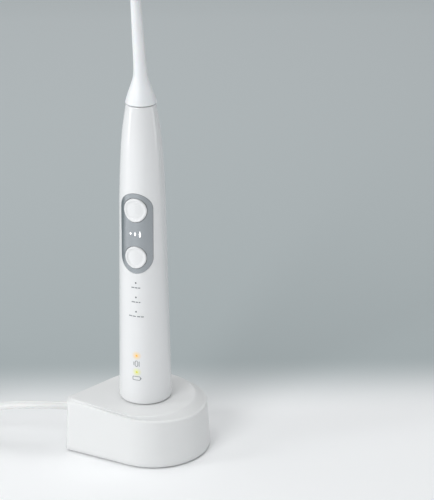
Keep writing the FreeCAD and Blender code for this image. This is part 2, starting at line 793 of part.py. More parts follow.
# ---------------------------------------------------------------- motor
def motor(cavity):
    low, high = f"({FOOT} + motor_low)", f"({FOOT} + motor_high)"
    inner = "motor_radius - motor_wall"
    can = turned(
        "CanTurned",
        [
            ("bearing_radius", low),
            ("motor_radius", low),
            ("motor_radius", f"{high} - end_thick"),
            (inner, f"{high} - end_thick"),
            (inner, f"{low} + end_thick"),
            ("bearing_radius", f"{low} + end_thick"),
        ],
    )
    piece("motor_can", can)
    plate = rod("motor_radius", "end_thick", z=f"{high} - end_thick")
    piece("motor_end_plate", cut(plate, rod("bearing_radius", "5", z=f"{high} - 3")))
    for name, z in (("rear_bearing", low), ("front_bearing", f"{high} - bearing_thick")):
        ring = rod("bearing_radius", "bearing_thick", z=z)
        piece(name, cut(ring, rod("shaft_radius + running_gap", "5", z=f"{z} - 1")))
    middle = f"({FOOT} + (motor_low + motor_high) / 2)"
    start = f"{middle} - stator_length / 2"
    pole_outer = "pole_radius + pole_thick"
    coil = cut(rod("stator_radius", "stator_length", z=start), rod(pole_outer, "stator_length", z=start))
    piece("stator_coil", coil)
    poles = cut(rod(pole_outer, "stator_length", z=start), rod("pole_radius", "stator_length", z=start))
    slot = block("2.4", "20", "stator_length", z=start)
    piece("stator_poles", cut(poles, slot))
    start = f"{middle} - magnet_length / 2"
    magnet = rod("magnet_radius", "magnet_length", z=start)
    piece("armature_magnet", cut(magnet, rod("shaft_radius", "magnet_length", z=start)))
    spring_low = f"{low} - torsion_long"
    piece("torsion_spring", rod("torsion_radius", "torsion_long", z=spring_low))
    shaft = rod("shaft_radius", f"{TOP} + 1 - {low}", z=low)
    tip = rod("tip_radius", "tip_rise + handle_wall + 1", z=f"{TOP} - handle_wall - 1")
    flat = block("10", "10", "tip_rise", "0", "tip_flat + 5", f"{TOP} + 6")
    piece("drive_shaft", cut(fuse(shaft, tip), flat))
    for name, rise in (("rear_damper", "motor_low + 6.5"), ("front_damper", "motor_high - 9")):
        z = f"{FOOT} + {rise}"
        ring = common(cavity, rod("20", "damper_thick", z=z))
        piece(name, cut(ring, rod("motor_radius", "damper_thick", z=z)))
    inner = "tip_radius + clear_gap"
    low = f"({TOP} - handle_wall)"
    seal = cut(rod("boot_radius", "handle_wall + boot_rise", z=low), rod(inner, "10", z=f"{low} - 1"))
    piece("shaft_seal", seal)


# ---------------------------------------------------------------- brush head
HEAD = "(plateau_height + stand_gap + handle_length + head_gap)"
# rise above the skirt's edge, and radius there
NECK = (("0", "skirt_radius"), ("5", "7.3"), ("10.5", "5.35"), ("16", "3.95"), ("35", "3.36"))


def lean_at(rise):
    """How far forward the neck's middle is."""
    return f"-max(0; ({rise}) - lean_start) * tan(lean)"


def place_on_head(thing, y):
    """Places a piece drawn upright on the leaning head."""
    thing.Placement = FreeCAD.Placement(V(0, 0, 0), FreeCAD.Rotation(V(1, 0, 0), 1))
    thing.setExpression("Placement.Rotation.Angle", bound("lean"))
    return put(
        thing,
        "0",
        f"{lean_at('head_low')} + ({y}) * cos(lean)",
        f"{HEAD} + head_low + ({y}) * sin(lean)",
    )


def brush_neck():
    body = new_body("NeckBody")
    rings = []
    for index, (rise, radius) in enumerate((*NECK, ("neck_top", "neck_radius"))):
        ring = sketch_on(body, "XY_Plane", f"NeckRing{index}", f"{HEAD} + {rise}")
        middle = number(lean_at(rise))
        edge = ring.addGeometry(Part.Circle(V(0, middle, 0), V(0, 0, 1), number(radius)))
        set_size(ring, Sketcher.Constraint("Radius", edge, number(radius)), radius)
        ring.addConstraint(Sketcher.Constraint("PointOnObject", edge, 3, -2))
        text = f"-({lean_at(rise)})"
        set_size(ring, Sketcher.Constraint("DistanceY", edge, 3, -1, 1, -middle), text)
        rings.append(ring)
    loft(body, "Additive", "NeckLoft", rings)
    plate = pill("HeadPlate", "head_half", "0", "head_long", "head_thick")
    place_on_head(plate, "head_thick / 3")
    hollow = doc.addObject("Part::Cone", "SkirtHollow")
    hollow.setExpression("Radius1", bound("skirt_radius - skirt_wall"))
    hollow.setExpression("Radius2", bound("socket_radius"))
    hollow.Height = 14
    put(hollow, z=HEAD)
    bore = rod("socket_radius", "socket_high", z=HEAD)
    piece("brush_neck", cut(fuse(body, plate), hollow, bore))
    tube = rod("socket_radius", "socket_high - socket_low", z=f"{HEAD} + socket_low")
    hole = rod("tip_radius + running_gap", "tip_rise", z=f"{HEAD} + socket_low - tip_radius")
    piece("shaft_socket", cut(tube, hole))


def tufts():
    """Round tufts in staggered rows: white at the rim of the head, coloured in its middle."""
    pitch, half, long = (number(name) for name in ("tuft_pitch", "head_half", "head_long"))
    radius, length = number("tuft_radius"), number("tuft_long")
    groups = {"outer_tufts": [], "indicator_tufts": []}
    rows = int((long - half) / pitch)
    for row in range(rows):
        z = long / 2 + (row - (rows - 1) / 2) * pitch
        past_end = max(0, half - z, z - (long - half))
        for column in (-1.5, -0.5, 0.5, 1.5):
            x = column * pitch
            if math.hypot(x, past_end) + radius + 0.6 > half:
                continue
            inner = abs(column) < 1 and 2 <= row < rows - 2
            tuft = Part.makeCylinder(radius, length, V(x, 0, z), V(0, -1, 0))
            groups["indicator_tufts" if inner else "outer_tufts"].append(tuft)
    for name, bars in groups.items():
        field = doc.addObject("Part::Feature", name)
        field.Shape = Part.makeCompound(bars)
        place_on_head(piece(name, field), "head_thick / 3 - head_thick")


# ---------------------------------------------------------------- cord
# the way of the cord's middle from the charger to the put-away coil, chosen by hand
LEAD = [
    (-42.5, -17.9, 27.2),
    (-58.2, -24.5, 28.6),
    (-76.8, -25.2, 26.2),
    (-96.0, -25.0, 19.8),
    (-114.0, -25.2, 12.6),
    (-132.0, -26.6, 7.4),
    (-150.0, -28.0, 5.6),
]
# up from the coil's top into the plug, which lies on the coil
TAIL = [(-168.5, -22.0, 7.5), (-173.6, -14.0, 12.2), (-177.2, -4.0, 17.4), (-178.0, 12.0, 18.7)]
COIL_MIDDLE = (-150.0, 5.0)
ARC_SHARE = 0.45


def cord_tube(name, route):
    """A round tube along straight runs that are joined by tangent arcs."""
    points = [V(*spot) for spot in route]
    runs = [(b - a).Length for a, b in zip(points, points[1:])]
    edges, start, radii = [], points[0], []
    for index in range(1, len(points) - 1):
        back = (points[index - 1] - points[index]).normalize()
        ahead = (points[index + 1] - points[index]).normalize()
        turn = math.pi - back.getAngle(ahead)
        tangent = ARC_SHARE * min(runs[index - 1], runs[index])
        radius = tangent / math.tan(turn / 2)
        radii.append(round(radius, 1))
        first, last = points[index] + back * tangent, points[index] + ahead * tangent
        inward = (back + ahead).normalize()
        middle = points[index] + inward * (radius / math.cos(turn / 2) - radius)
        edges.append(Part.LineSegment(start, first).toShape())
        edges.append(Part.Arc(first, middle, last).toShape())
        start = last
    edges.append(Part.LineSegment(start, points[-1]).toShape())
    path = Part.Wire(edges)
    radius = number("cord_radius")
    ring = Part.Wire([Part.Circle(points[0], points[1] - points[0], radius).toShape()])
    tube = path.makePipeShell([ring], True, True)
    section = math.pi * radius * radius
    print(name, "radii", radii, "length", round(path.Length, 2))
    print(name, "volume over section x length", round(tube.Volume / (section * path.Length), 4))
    cord = doc.addObject("Part::Feature", name)
    cord.Shape = tube
    piece(name, cord)


def cord():
    cord_tube("cord_lead", LEAD)
    cord_tube("cord_tail", TAIL)
    x, y = (str(value) for value in COIL_MIDDLE)
    ring = turned(
        "CoilRing",
        [
            ("coil_radius - coil_half", "2.5"),
            ("coil_radius - coil_half + 2", "0.2"),
            ("coil_radius + coil_half - 2", "0.2"),
            ("coil_radius + coil_half", "2.5"),
            ("coil_radius + coil_half", "coil_high - 2.5"),
            ("coil_radius + coil_half - 2", "coil_high"),
            ("coil_radius - coil_half + 2", "coil_high"),
            ("coil_radius - coil_half", "coil_high - 2.5"),
        ],
    )
    piece("cord_coil", put(ring, x, y))
    near = TAIL[-1]
    x, y = str(near[0]), f"{near[1]} + plug_long / 2"
    rest = "(coil_high + fit_gap)"
    piece("plug_body", block("plug_half * 2", "plug_long", "plug_high", x, y, rest))
    blade_y = f"{near[1]} + plug_long + blade_long / 2"
    blade_z = f"{rest} + (plug_high - blade_wide) / 2"
    blades = [
        block("blade_thick", "blade_long", "blade_wide", f"{x} {sign} blade_pitch / 2", blade_y, blade_z)
        for sign in "-+"
    ]
    piece("plug_blades", fuse(*blades))


# ---------------------------------------------------------------- build and write
charger_housing()
charger_underside()
charger_coil()
charger_electronics()
cord_grommet()
inside = handle_shell()
front_panel()
buttons()
button_membrane()
lights()
bottom_cap()
receiver_coil()
chassis()
battery()
circuit_board()
motor(inside)
brush_neck()
tufts()
cord()
doc.recompute()

failed = [thing.Label for thing in doc.Objects if {"Invalid", "Error"} & set(thing.State)]
if failed:
    raise RuntimeError(f"these failed: {failed}")
for thing in PIECES:
    if thing.Shape.isNull() or not thing.Shape.isValid() or thing.Shape.Volume <= 0:
        raise RuntimeError(f"{thing.Label} has no valid shape")
os.makedirs("parts", exist_ok=True)
for thing in PIECES:
    thing.Shape.exportStep(f"parts/{thing.Label}.step")
print(len(PIECES), "nodes written")
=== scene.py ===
"""Electric toothbrush standing on its drop-shaped charger, with the mains cord put away in a coil."""

import math

import bmesh
import bpy
from bpy.props import FloatProperty, FloatVectorProperty, IntProperty, PointerProperty
from mathutils import Matrix, Vector


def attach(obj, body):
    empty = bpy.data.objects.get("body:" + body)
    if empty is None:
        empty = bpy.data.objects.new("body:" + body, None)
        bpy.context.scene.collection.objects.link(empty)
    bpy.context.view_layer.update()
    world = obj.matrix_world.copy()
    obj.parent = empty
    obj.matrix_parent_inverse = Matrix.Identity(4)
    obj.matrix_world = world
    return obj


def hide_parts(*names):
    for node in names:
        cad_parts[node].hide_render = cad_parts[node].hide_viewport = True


bl_info = {
    "name": "Toothbrush on Charger",
    "version": (1, 0, 0),
    "blender": (4, 5, 0),
    "location": "3D View > Sidebar > Toothbrush",
    "description": "Builds an electric toothbrush, its drop-shaped charger and its coiled cord",
    "category": "Add Mesh",
}

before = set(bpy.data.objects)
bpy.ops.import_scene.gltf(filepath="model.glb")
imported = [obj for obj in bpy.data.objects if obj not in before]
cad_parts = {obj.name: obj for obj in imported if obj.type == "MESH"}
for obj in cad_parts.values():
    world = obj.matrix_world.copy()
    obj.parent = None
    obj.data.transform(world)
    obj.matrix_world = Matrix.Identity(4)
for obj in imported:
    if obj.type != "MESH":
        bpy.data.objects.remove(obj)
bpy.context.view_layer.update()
MM = 0.001


def linear(code):
    """The linear colour of an sRGB hex value."""
    parts = [int(code[i : i + 2], 16) / 255 for i in (1, 3, 5)]
    return (*(c / 12.92 if c <= 0.04045 else ((c + 0.055) / 1.055) ** 2.4 for c in parts), 1.0)


# ---------------------------------------------------------------- sizes and colours
def length(name, text, size):
    return FloatProperty(name=name, description=text, default=size * MM, unit="LENGTH", precision=5)


def colour(name, text, code):
    return FloatVectorProperty(name=name, description=text, subtype="COLOR", size=4, default=linear(code))


def angle(name, text, degrees):
    return FloatProperty(name=name, description=text, default=math.radians(degrees), subtype="ANGLE")


class HandleSettings(bpy.types.PropertyGroup):
    foot: length("Foot", "Height of the handle's foot above the table", 33.1)
    tall: length("Length", "Handle from foot to top", 177.5)
    foot_radius: length("Foot radius", "Radius at the foot", 15.3)
    grip_rise: length("Grip rise", "Where the straight taper ends", 118.0)
    grip_radius: length("Grip radius", "Radius at the end of the straight taper", 13.1)
    shoulder_rise: length("Shoulder rise", "Where the upper curve begins", 153.5)
    shoulder_radius: length("Shoulder radius", "Radius at the shoulder", 11.5)
    top_radius: length("Top radius", "Radius at the top", 8.4)
    plastic: colour("Plastic", "Gloss white of the handle", "#ECEDEE")
    silver: colour("Panel", "Metallised front panel", "#A9AEB2")
    button: colour("Buttons", "Pearl white of the buttons", "#EDEEEF")


class ButtonSettings(bpy.types.PropertyGroup):
    power_rise: length("Power rise", "Middle of the upper button above the foot", 119.2)
    power_half: length("Power half width", "Half width of the upper button", 6.5)
    mode_rise: length("Mode rise", "Middle of the lower button above the foot", 91.2)
    mode_half: length("Mode half width", "Half width of the lower button", 6.1)
    tall: FloatProperty(name="Tall", description="Height of a button over its width", default=1.07)
    proud: length("Proud", "Rim of a button above the handle", 0.9)
    dish: length("Dish", "Depth of the finger dish below the rim", 0.8)
    deep: length("Deep", "Back of a button below the handle's face", 1.3)


class BrushSettings(bpy.types.PropertyGroup):
    skirt: length("Skirt height", "Height of the brush head's skirt edge", 211.2)
    lean: angle("Lean", "How far the neck leans forward", 8.0)
    lean_start: length("Lean start", "Where the lean starts, above the skirt edge", 17.0)
    plate_low: length("Plate low", "Where the bristle plate starts, above the skirt edge", 63.0)
    plate_long: length("Plate length", "Length of the bristle plate", 29.0)
    plate_half: length("Plate half width", "Half width of the bristle plate", 5.6)
    plate_thick: length("Plate thickness", "Thickness of the bristle plate", 4.6)
    pitch: length("Tuft pitch", "Distance between tufts", 2.35)
    tuft_radius: length("Tuft radius", "Radius of a tuft", 0.8)
    bristle: length("Bristle length", "Length of the bristles", 10.5)
    filaments: IntProperty(name="Filaments", description="Filaments in a tuft", default=31, min=7, max=60)
    outer: colour("Outer bristles", "Undyed nylon", "#F4F7FA")
    inner: colour("Indicator bristles", "Dyed nylon", "#5FA9D6")


class ChargerSettings(bpy.types.PropertyGroup):
    turn: angle("Turn", "Turn of the charger about the peg", 22.8)
    nose_radius: length("Nose radius", "Radius of the round end", 31.0)
    nose_shift: length("Nose shift", "Middle of the round end ahead of the peg", 5.0)
    tail_reach: length("Tail reach", "Peg to the cord end", 45.5)
    tail_half: length("Tail half width", "Half width of the cord end", 5.2)
    tail_corner: length("Tail corner", "Corner radius of the cord end", 2.8)
    draft: length("Draft", "How far the wall leans out towards its foot", 1.5)
    lift: length("Lift", "Wall's lower edge above the table", 0.9)
    edge: length("Edge height", "Top edge beside the peg", 30.0)
    slope: angle("Edge slope", "How far the top edge falls towards the nose", 2.4)
    edge_round: length("Edge round", "Rounding of the top edge", 1.3)
    plateau: length("Plateau height", "Height of the plateau", 32.6)
    plateau_radius: length("Plateau radius", "Radius of the plateau's round end", 29.0)
    wall: length("Wall", "Wall thickness", 2.0)
    peg_radius: length("Peg radius", "Radius of the charging peg", 4.6)
    peg_high: length("Peg height", "Peg above the plateau", 15.0)
    plastic: colour("Plastic", "Satin white of the charger", "#EAEBEB")


class CordSettings(bpy.types.PropertyGroup):
    wide: length("Width", "Width of the flat cord", 6.2)
    thick: length("Thickness", "Thickness of the flat cord", 3.6)
    turns: FloatProperty(name="Turns", description="Turns in the put-away coil", default=4.07)
    long: length("Length", "Real length from the charger to the plug", 1000.0)
    vinyl: colour("Vinyl", "White of the cord and plug", "#EBECEB")


class StageSettings(bpy.types.PropertyGroup):
    near: colour("Floor", "Floor under and in front of the charger", "#FAFBFC")
    far: colour("Far floor", "Floor just behind the charger", "#AEB7B9")
    back: colour("Back floor", "Floor a metre behind the charger", "#E2E9EB")
    key: FloatProperty(name="Key light", description="Power of the front light", default=7.2, unit="POWER")
    top: FloatProperty(name="Top light", description="Power of the light above", default=10.5, unit="POWER")
    strip: FloatProperty(name="Left strip", description="Power of the left light", default=2.6, unit="POWER")
    rim: FloatProperty(name="Right strip", description="Power of the right light", default=0.9, unit="POWER")


# ---------------------------------------------------------------- materials
# height in mm of each status light above the table, and the colour of the painted glow round it on the handle
STATUS_PAINTED_GLOWS = ((63.8, "#FFD890"), (53.5, "#EDF19A"))


def add(tree, kind, settings=None, links=None):
    """Adds one node: settings are its sockets and options, links are the sources of its sockets."""
    node = tree.nodes.new(kind)
    for key, value in (settings or {}).items():
        if isinstance(key, int) or key in node.inputs:
            node.inputs[key].default_value = value
        else:
            setattr(node, key, value)
    for key, source in (links or {}).items():
        tree.links.new(source, node.inputs[key])
    return node


def split(terms):
    """Parts terms into fixed values and other nodes' outputs."""
    linked = {key: term for key, term in terms.items() if isinstance(term, bpy.types.NodeSocket)}
    return {key: term for key, term in terms.items() if key not in linked}, linked


def mixed(tree, share, low, high):
    """A colour between low and high: each is a colour or another node's output."""
    fixed, linked = split({0: share, 6: low, 7: high})
    return add(tree, "ShaderNodeMix", {"data_type": "RGBA", **fixed}, linked).outputs[2]


def worked(tree, kind, *terms):
    """The result of a sum: each term is a number or another node's output."""
    fixed, linked = split(dict(enumerate(terms)))
    return add(tree, "ShaderNodeMath", {"operation": kind, **fixed}, linked).outputs[0]


def ranged(tree, value, low, high, first=0.0, last=1.0, kind="LINEAR"):
    """The value carried over from low and high to first and last."""
    settings = {
        "interpolation_type": kind,
        "From Min": low, "From Max": high, "To Min": first, "To Max": last,
    }
    return add(tree, "ShaderNodeMapRange", settings, {"Value": value}).outputs[0]


def finish_of(name, shade, grain, spread, rough, bump, stretch=(1, 1, 1), extra=None, tint=None):
    """A surface with a pattern of that grain in mm: it varies the colour, the gloss and the relief.

    shade is linear, spread is how much darker the pattern goes, rough is the lowest and highest
    roughness, bump is its relief in mm, stretch pulls the pattern along an axis.
    """
    if name in bpy.data.materials:
        return bpy.data.materials[name]
    material = bpy.data.materials.new(name)
    material.use_nodes = True
    tree = material.node_tree
    tree.nodes.clear()
    place = add(tree, "ShaderNodeTexCoord").outputs["Object"]
    sized = add(tree, "ShaderNodeMapping", {"Scale": stretch}, {"Vector": place})
    noise = add(
        tree,
        "ShaderNodeTexNoise",
        {"Scale": 1 / (grain * MM), "Detail": 3.0, "Roughness": 0.55},
        {"Vector": sized.outputs[0]},
    )
    dark = (*(c * (1 - spread) for c in shade[:3]), 1.0)
    base = mixed(tree, noise.outputs[0], dark, tuple(shade))
    if tint:
        base = tint(tree, place, base)
    gloss = ranged(tree, noise.outputs[0], 0.3, 0.7, *rough)
    relief = add(
        tree, "ShaderNodeBump", {"Strength": 0.5, "Distance": bump * MM}, {"Height": noise.outputs[0]}
    )
    shader = add(
        tree,
        "ShaderNodeBsdfPrincipled",
        extra,
        {"Base Color": base, "Roughness": gloss, "Normal": relief.outputs[0]},
    )
    add(tree, "ShaderNodeOutputMaterial", None, {"Surface": shader.outputs[0]})
    return material


def painted_glow_round_lights(tree, place, base):
    """Painted glow: a soft spot of each status light's colour, painted into the handle's base colour where
    its light would leak through the wall.
    """
    foot = bpy.context.scene.toothbrush_handle.foot
    for height, code in STATUS_PAINTED_GLOWS:
        spot = (0.0, -handle_radius(height * MM - foot), height * MM)
        far = add(tree, "ShaderNodeVectorMath", {"operation": "DISTANCE", 1: spot}, {0: place})
        share = ranged(tree, far.outputs["Value"], 0.6 * MM, 3.2 * MM, 0.75, 0.0, "SMOOTHSTEP")
        # painted glow: the lamp's colour mixed into the base colour, strongest at the light
        base = mixed(tree, share, base, linear(code))
    return base


def two_lights(tree, place, base):
    """Amber above, yellow-green below."""
    height = add(tree, "ShaderNodeSeparateXYZ", None, {"Vector": place}).outputs["Z"]
    between = sum(height for height, code in STATUS_PAINTED_GLOWS) / 2 * MM
    return mixed(tree, worked(tree, "GREATER_THAN", height, between), linear("#C6D43A"), linear("#F2B233"))


def windings_with_painted_groove_shade(tree, place, base):
    """Round wire wound side by side: painted shade as dark grooves between the turns, 0.6 mm apart, coarser
    than the real wire.
    """
    wave = add(
        tree,
        "ShaderNodeTexWave",
        {"bands_direction": "Z", "Scale": 1 / (0.6 * MM) / 20, "Distortion": 0.3},
        {"Vector": place},
    )
    # painted shade: a dark copper tone in the grooves between the turns
    return mixed(tree, wave.outputs["Fac"], linear("#6E3215"), base)


def traces(tree, place, base):
    """Etched copper under solder mask shows as lighter blocks, about 1.5 mm wide."""
    cells = add(
        tree, "ShaderNodeTexVoronoi", {"distance": "CHEBYCHEV", "Scale": 1 / (1.5 * MM)}, {"Vector": place}
    )
    share = ranged(tree, cells.outputs["Distance"], 0.3, 0.34, 0.0, 0.35)
    return mixed(tree, share, base, linear("#4FA37C"))


def faded_tips(tree, place, base):
    """Indicator dye that wears pale from the tips back."""
    settings = bpy.context.scene.toothbrush_brush
    root = head_point(0, -2 * settings.plate_thick / 3, settings.plate_low)
    way = head_point(0, -1, 0) - head_point(0, 0, 0)
    gone = add(tree, "ShaderNodeVectorMath", {"operation": "SUBTRACT", 1: tuple(root)}, {0: place})
    along = add(
        tree, "ShaderNodeVectorMath", {"operation": "DOT_PRODUCT", 1: tuple(way)}, {0: gone.outputs[0]}
    )
    share = ranged(tree, along.outputs["Value"], 0.55 * settings.bristle, settings.bristle, 0.0, 0.6)
    return mixed(tree, share, base, linear("#EAF3F8"))


def material(slot):
    """The finish for each of the record's material slots."""
    scene = bpy.context.scene
    handle, charger, brush, cord = (
        scene.toothbrush_handle, scene.toothbrush_charger, scene.toothbrush_brush, scene.toothbrush_cord,
    )
    finishes = {
        # polished mould: a clear gloss with the faintest orange peel, and a painted glow round the status
        # lights
        "handle_plastic": ("Gloss moulded ABS", handle.plastic, 3.0, 0.01, (0.16, 0.22), 0.004,
            (1, 1, 1), {"IOR": 1.53, "Coat Weight": 0.25, "Coat Roughness": 0.08},
            painted_glow_round_lights),
        # fine spark-eroded mould: soft highlight, drawn at 1.2 mm because the real 0.05 mm is unseen
        "charger_plastic": ("Satin moulded ABS", charger.plastic, 1.2, 0.015, (0.38, 0.48), 0.01,
            (1, 1, 1), {"IOR": 1.53}),
        # vapour-metallised film under satin lacquer: long upright brushing, soft metal reflection
        "panel_silver": ("Metallised satin panel", handle.silver, 0.8, 0.10, (0.20, 0.28), 0.003,
            (1, 1, 0.03), {"Metallic": 1.0}),
        # pearl lacquer: even, slightly silky white
        "button_plastic": ("Pearl lacquered ABS", handle.button, 1.0, 0.02, (0.28, 0.36), 0.003,
            (1, 1, 1), {"IOR": 1.53, "Coat Weight": 0.3, "Coat Roughness": 0.12}),
        # polypropylene: waxy, lets a little light in
        "brush_plastic": ("Moulded polypropylene", linear("#F1F3F5"), 2.0, 0.015, (0.30, 0.38), 0.004,
            (1, 1, 1), {"IOR": 1.49, "Subsurface Weight": 0.08,
            "Subsurface Scale": 1.5 * MM}),
        "socket_plastic": ("Moulded acetal", linear("#E4E5E0"), 1.5, 0.03, (0.35, 0.45), 0.004,
            (1, 1, 1), {"IOR": 1.48}),
        "white_bristle": ("Undyed nylon filament", brush.outer, 0.9, 0.10, (0.35, 0.5), 0.002,
            (1, 1, 1), {"IOR": 1.53, "Subsurface Weight": 0.1,
            "Subsurface Scale": 0.8 * MM}),
        "blue_bristle": ("Dyed nylon filament", brush.inner, 0.9, 0.18, (0.35, 0.5), 0.002,
            (1, 1, 1), {"IOR": 1.53}, faded_tips),
        # clear polycarbonate over a white lamp
        "lens_clear": ("Lit polycarbonate lens", linear("#FFFFFF"), 0.5, 0.03, (0.08, 0.12), 0.001,
            (1, 1, 1), {"Emission Color": linear("#FFFFFF"), "Emission Strength": 0.9}),
        "lens_status": ("Tinted status lens", linear("#F2B233"), 0.5, 0.05, (0.15, 0.22), 0.001,
            (1, 1, 1), {"Emission Color": linear("#F5C858"), "Emission Strength": 0.25},
            two_lights),
        "grey_rubber": ("Moulded silicone rubber", linear("#8E9396"), 0.8, 0.12, (0.6, 0.75), 0.01,
            (1, 1, 1), {"IOR": 1.41}),
        "inner_plastic": ("Natural glass-filled nylon", linear("#D9D6CB"), 0.7, 0.12, (0.45, 0.6), 0.01,
            (1, 1, 3), {"IOR": 1.53}),
        "board_laminate": ("Solder-masked laminate", linear("#1F6B4A"), 2.0, 0.15, (0.3, 0.42), 0.01,
            (1, 1, 1), {"IOR": 1.55}, traces),
        "chip_black": ("Moulded epoxy", linear("#232527"), 0.5, 0.2, (0.5, 0.65), 0.01,
            (1, 1, 1), {"IOR": 1.55}),
        "copper_wire": ("Enamelled copper winding", linear("#B8622F"), 0.8, 0.1, (0.25, 0.38), 0.01,
            (1, 1, 1), {"Metallic": 1.0}, windings_with_painted_groove_shade),
        "ferrite": ("Sintered ferrite", linear("#3A3B3D"), 0.6, 0.25, (0.55, 0.7), 0.01,
            (1, 1, 1), {"IOR": 1.6}),
        "cell_wrap": ("Shrink-wrapped cell", linear("#3E7FB0"), 4.0, 0.08, (0.22, 0.32), 0.005,
            (1, 1, 1), {"IOR": 1.54}),
        "spring_steel": ("Ground spring steel", linear("#AEB2B5"), 0.6, 0.12, (0.22, 0.34), 0.003,
            (1, 1, 8), {"Metallic": 1.0}),
        "magnet_plate": ("Nickel-plated magnet", linear("#C3C4C2"), 1.2, 0.06, (0.14, 0.22), 0.002,
            (1, 1, 1), {"Metallic": 1.0}),
        # extruded vinyl: soft gloss with slight draw marks
        "cord_vinyl": ("Extruded soft vinyl", cord.vinyl, 1.6, 0.03, (0.32, 0.42), 0.01,
            (1, 1, 1), {"IOR": 1.53, "Subsurface Weight": 0.05,
            "Subsurface Scale": 1.0 * MM}),
        "plug_vinyl": ("Moulded vinyl", cord.vinyl, 1.0, 0.04, (0.42, 0.52), 0.015,
            (1, 1, 1), {"IOR": 1.53}),
        "blade_brass": ("Nickel-plated brass", linear("#CFC8B4"), 0.8, 0.08, (0.16, 0.26), 0.002,
            (1, 6, 1), {"Metallic": 1.0}),
        # pad-printed ink: flat grey, a little broken at its edges
        "ink": ("Pad-printed ink", linear("#85898D"), 0.5, 0.15, (0.45, 0.6), 0.002, (1, 1, 1), None),
        # unlit lamp behind a smoked lens
        "smoked": ("Smoked polycarbonate lens", linear("#6B7075"), 0.4, 0.1, (0.1, 0.16), 0.001,
            (1, 1, 1), {"IOR": 1.58}),
    }
    return finish_of(*finishes[slot])


SLOT_NODES = {
    "charger_plastic": ("base_cover",),
    "handle_plastic": ("bottom_cap",),
    "socket_plastic": ("shaft_socket",),
    "lens_clear": ("level_lights",),
    "lens_status": ("status_lights",),
    "smoked": ("mode_lights",),
    "grey_rubber": ("button_membrane", "cap_seal", "rear_damper", "front_damper", "shaft_seal", "foot_pad"),
    "inner_plastic": ("chassis", "receiver_bobbin", "primary_coil_former"),
    "board_laminate": ("circuit_board", "charger_board"),
    "copper_wire": ("receiver_coil", "primary_coil", "stator_coil", "charger_choke"),
    "ferrite": ("ferrite_core",),
    "cell_wrap": ("battery_cell", "charger_capacitor"),
    "chip_black": ("main_chip", "motor_driver_chip", "charging_chip", "charger_chip",
                   "power_switch", "mode_switch"),
    "spring_steel": ("drive_shaft", "torsion_spring", "positive_contact", "negative_contact",
                     "rear_bearing", "front_bearing", "motor_can", "motor_end_plate", "stator_poles"),
    "magnet_plate": ("armature_magnet",),
    "cord_vinyl": ("cord_grommet",),
    "blade_brass": ("plug_blades",),
}


# ---------------------------------------------------------------- mesh helpers
def mesh_piece(name, points, faces, slot, body, replaced=(), sharp=35, ink=None):
    """Makes a closed, outward-facing piece from points in metres and hands it to its body."""
    mesh = bpy.data.meshes.new(name)
    mesh.from_pydata([tuple(p) for p in points], [], faces)
    return hand_over(name, mesh, slot, body, replaced, sharp, ink)


def hand_over(name, mesh, slot, body, replaced=(), sharp=35, ink=None, outward=True):
    if outward:
        work = bmesh.new()
        work.from_mesh(mesh)
        bmesh.ops.remove_doubles(work, verts=work.verts, dist=1e-7)
        bmesh.ops.recalc_face_normals(work, faces=work.faces)
        work.to_mesh(mesh)
        work.free()
    mesh.shade_smooth()
    mesh.set_sharp_from_angle(angle=math.radians(sharp))
    obj = bpy.data.objects.new(name, mesh)
    bpy.context.scene.collection.objects.link(obj)
    mesh.materials.clear()
    mesh.materials.append(material(ink or slot))
    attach(obj, body)
    if replaced:
        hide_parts(*replaced)
    return obj


def skinned(rings, start=None, end=None, joined=False):
    """Points and faces of a skin over rings of equal count, closed by poles or onto itself."""
    count = len(rings[0])
    points = [p for ring in rings for p in ring]
    faces = []
    pairs = list(zip(range(len(rings) - 1), range(1, len(rings))))
    if joined:
        pairs.append((len(rings) - 1, 0))
    for low, high in pairs:
        for i in range(count):
            j = (i + 1) % count
            faces.append((low * count + i, low * count + j, high * count + j, high * count + i))
    for pole, row in ((start, 0), (end, len(rings) - 1)):
        if pole is not None:
            points.append(pole)
            last = len(points) - 1
            faces += [(row * count + i, row * count + (i + 1) % count, last) for i in range(count)]
    return points, faces


def smooth_copy(node, name, slot, body, sharp=30):
    """A merged, smooth-shaded copy of a CAD node whose shape is right."""
    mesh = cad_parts[node].data.copy()
    mesh.name = name
    work = bmesh.new()
    work.from_mesh(mesh)
    bmesh.ops.remove_doubles(work, verts=work.verts, dist=2e-6)
    work.to_mesh(mesh)
    work.free()
    if mesh.attributes.get("custom_normal"):
        mesh.attributes.remove(mesh.attributes["custom_normal"])
    return hand_over(name, mesh, slot, body, (node,), sharp, outward=False)


def handle_radius(rise):
    """The handle's outer radius at that rise above its foot."""
    s = bpy.context.scene.toothbrush_handle
    if rise <= s.grip_rise:
        return s.foot_radius + (s.grip_radius - s.foot_radius) * max(rise, 0) / s.grip_rise
    if rise <= s.shoulder_rise:
        low, high, a, b, bow = s.grip_rise, s.shoulder_rise, s.grip_radius, s.shoulder_radius, 720 * MM
    else:
        low, high, a, b, bow = s.shoulder_rise, s.tall, s.shoulder_radius, s.top_radius, 200 * MM
    share = min((rise - low) / (high - low), 1)
    belly = (high - low) ** 2 / (8 * bow)
    return a + (b - a) * share + 4 * belly * share * (1 - share)


def on_handle(x, rise, proud):
    """A point of the handle's front, x to the side and that far proud of it."""
    s = bpy.context.scene.toothbrush_handle
    radius = handle_radius(rise)
    out = math.sqrt(max(radius**2 - x**2, 0))
    return Vector((x * (1 + proud / radius), -out * (1 + proud / radius), s.foot + rise))


# ---------------------------------------------------------------- stage
CAMERA_SPOT = (327.0, -933.7, 540.5)  # mm
CAMERA_LENS, CAMERA_SENSOR = 136.8, 36.0  # mm
VIEW_TURN = math.radians(19.3)  # the view's direction about the upright
AIM_RIGHT, AIM_UP = math.radians(2.22), math.radians(1.10)  # the aim, away from the object's middle


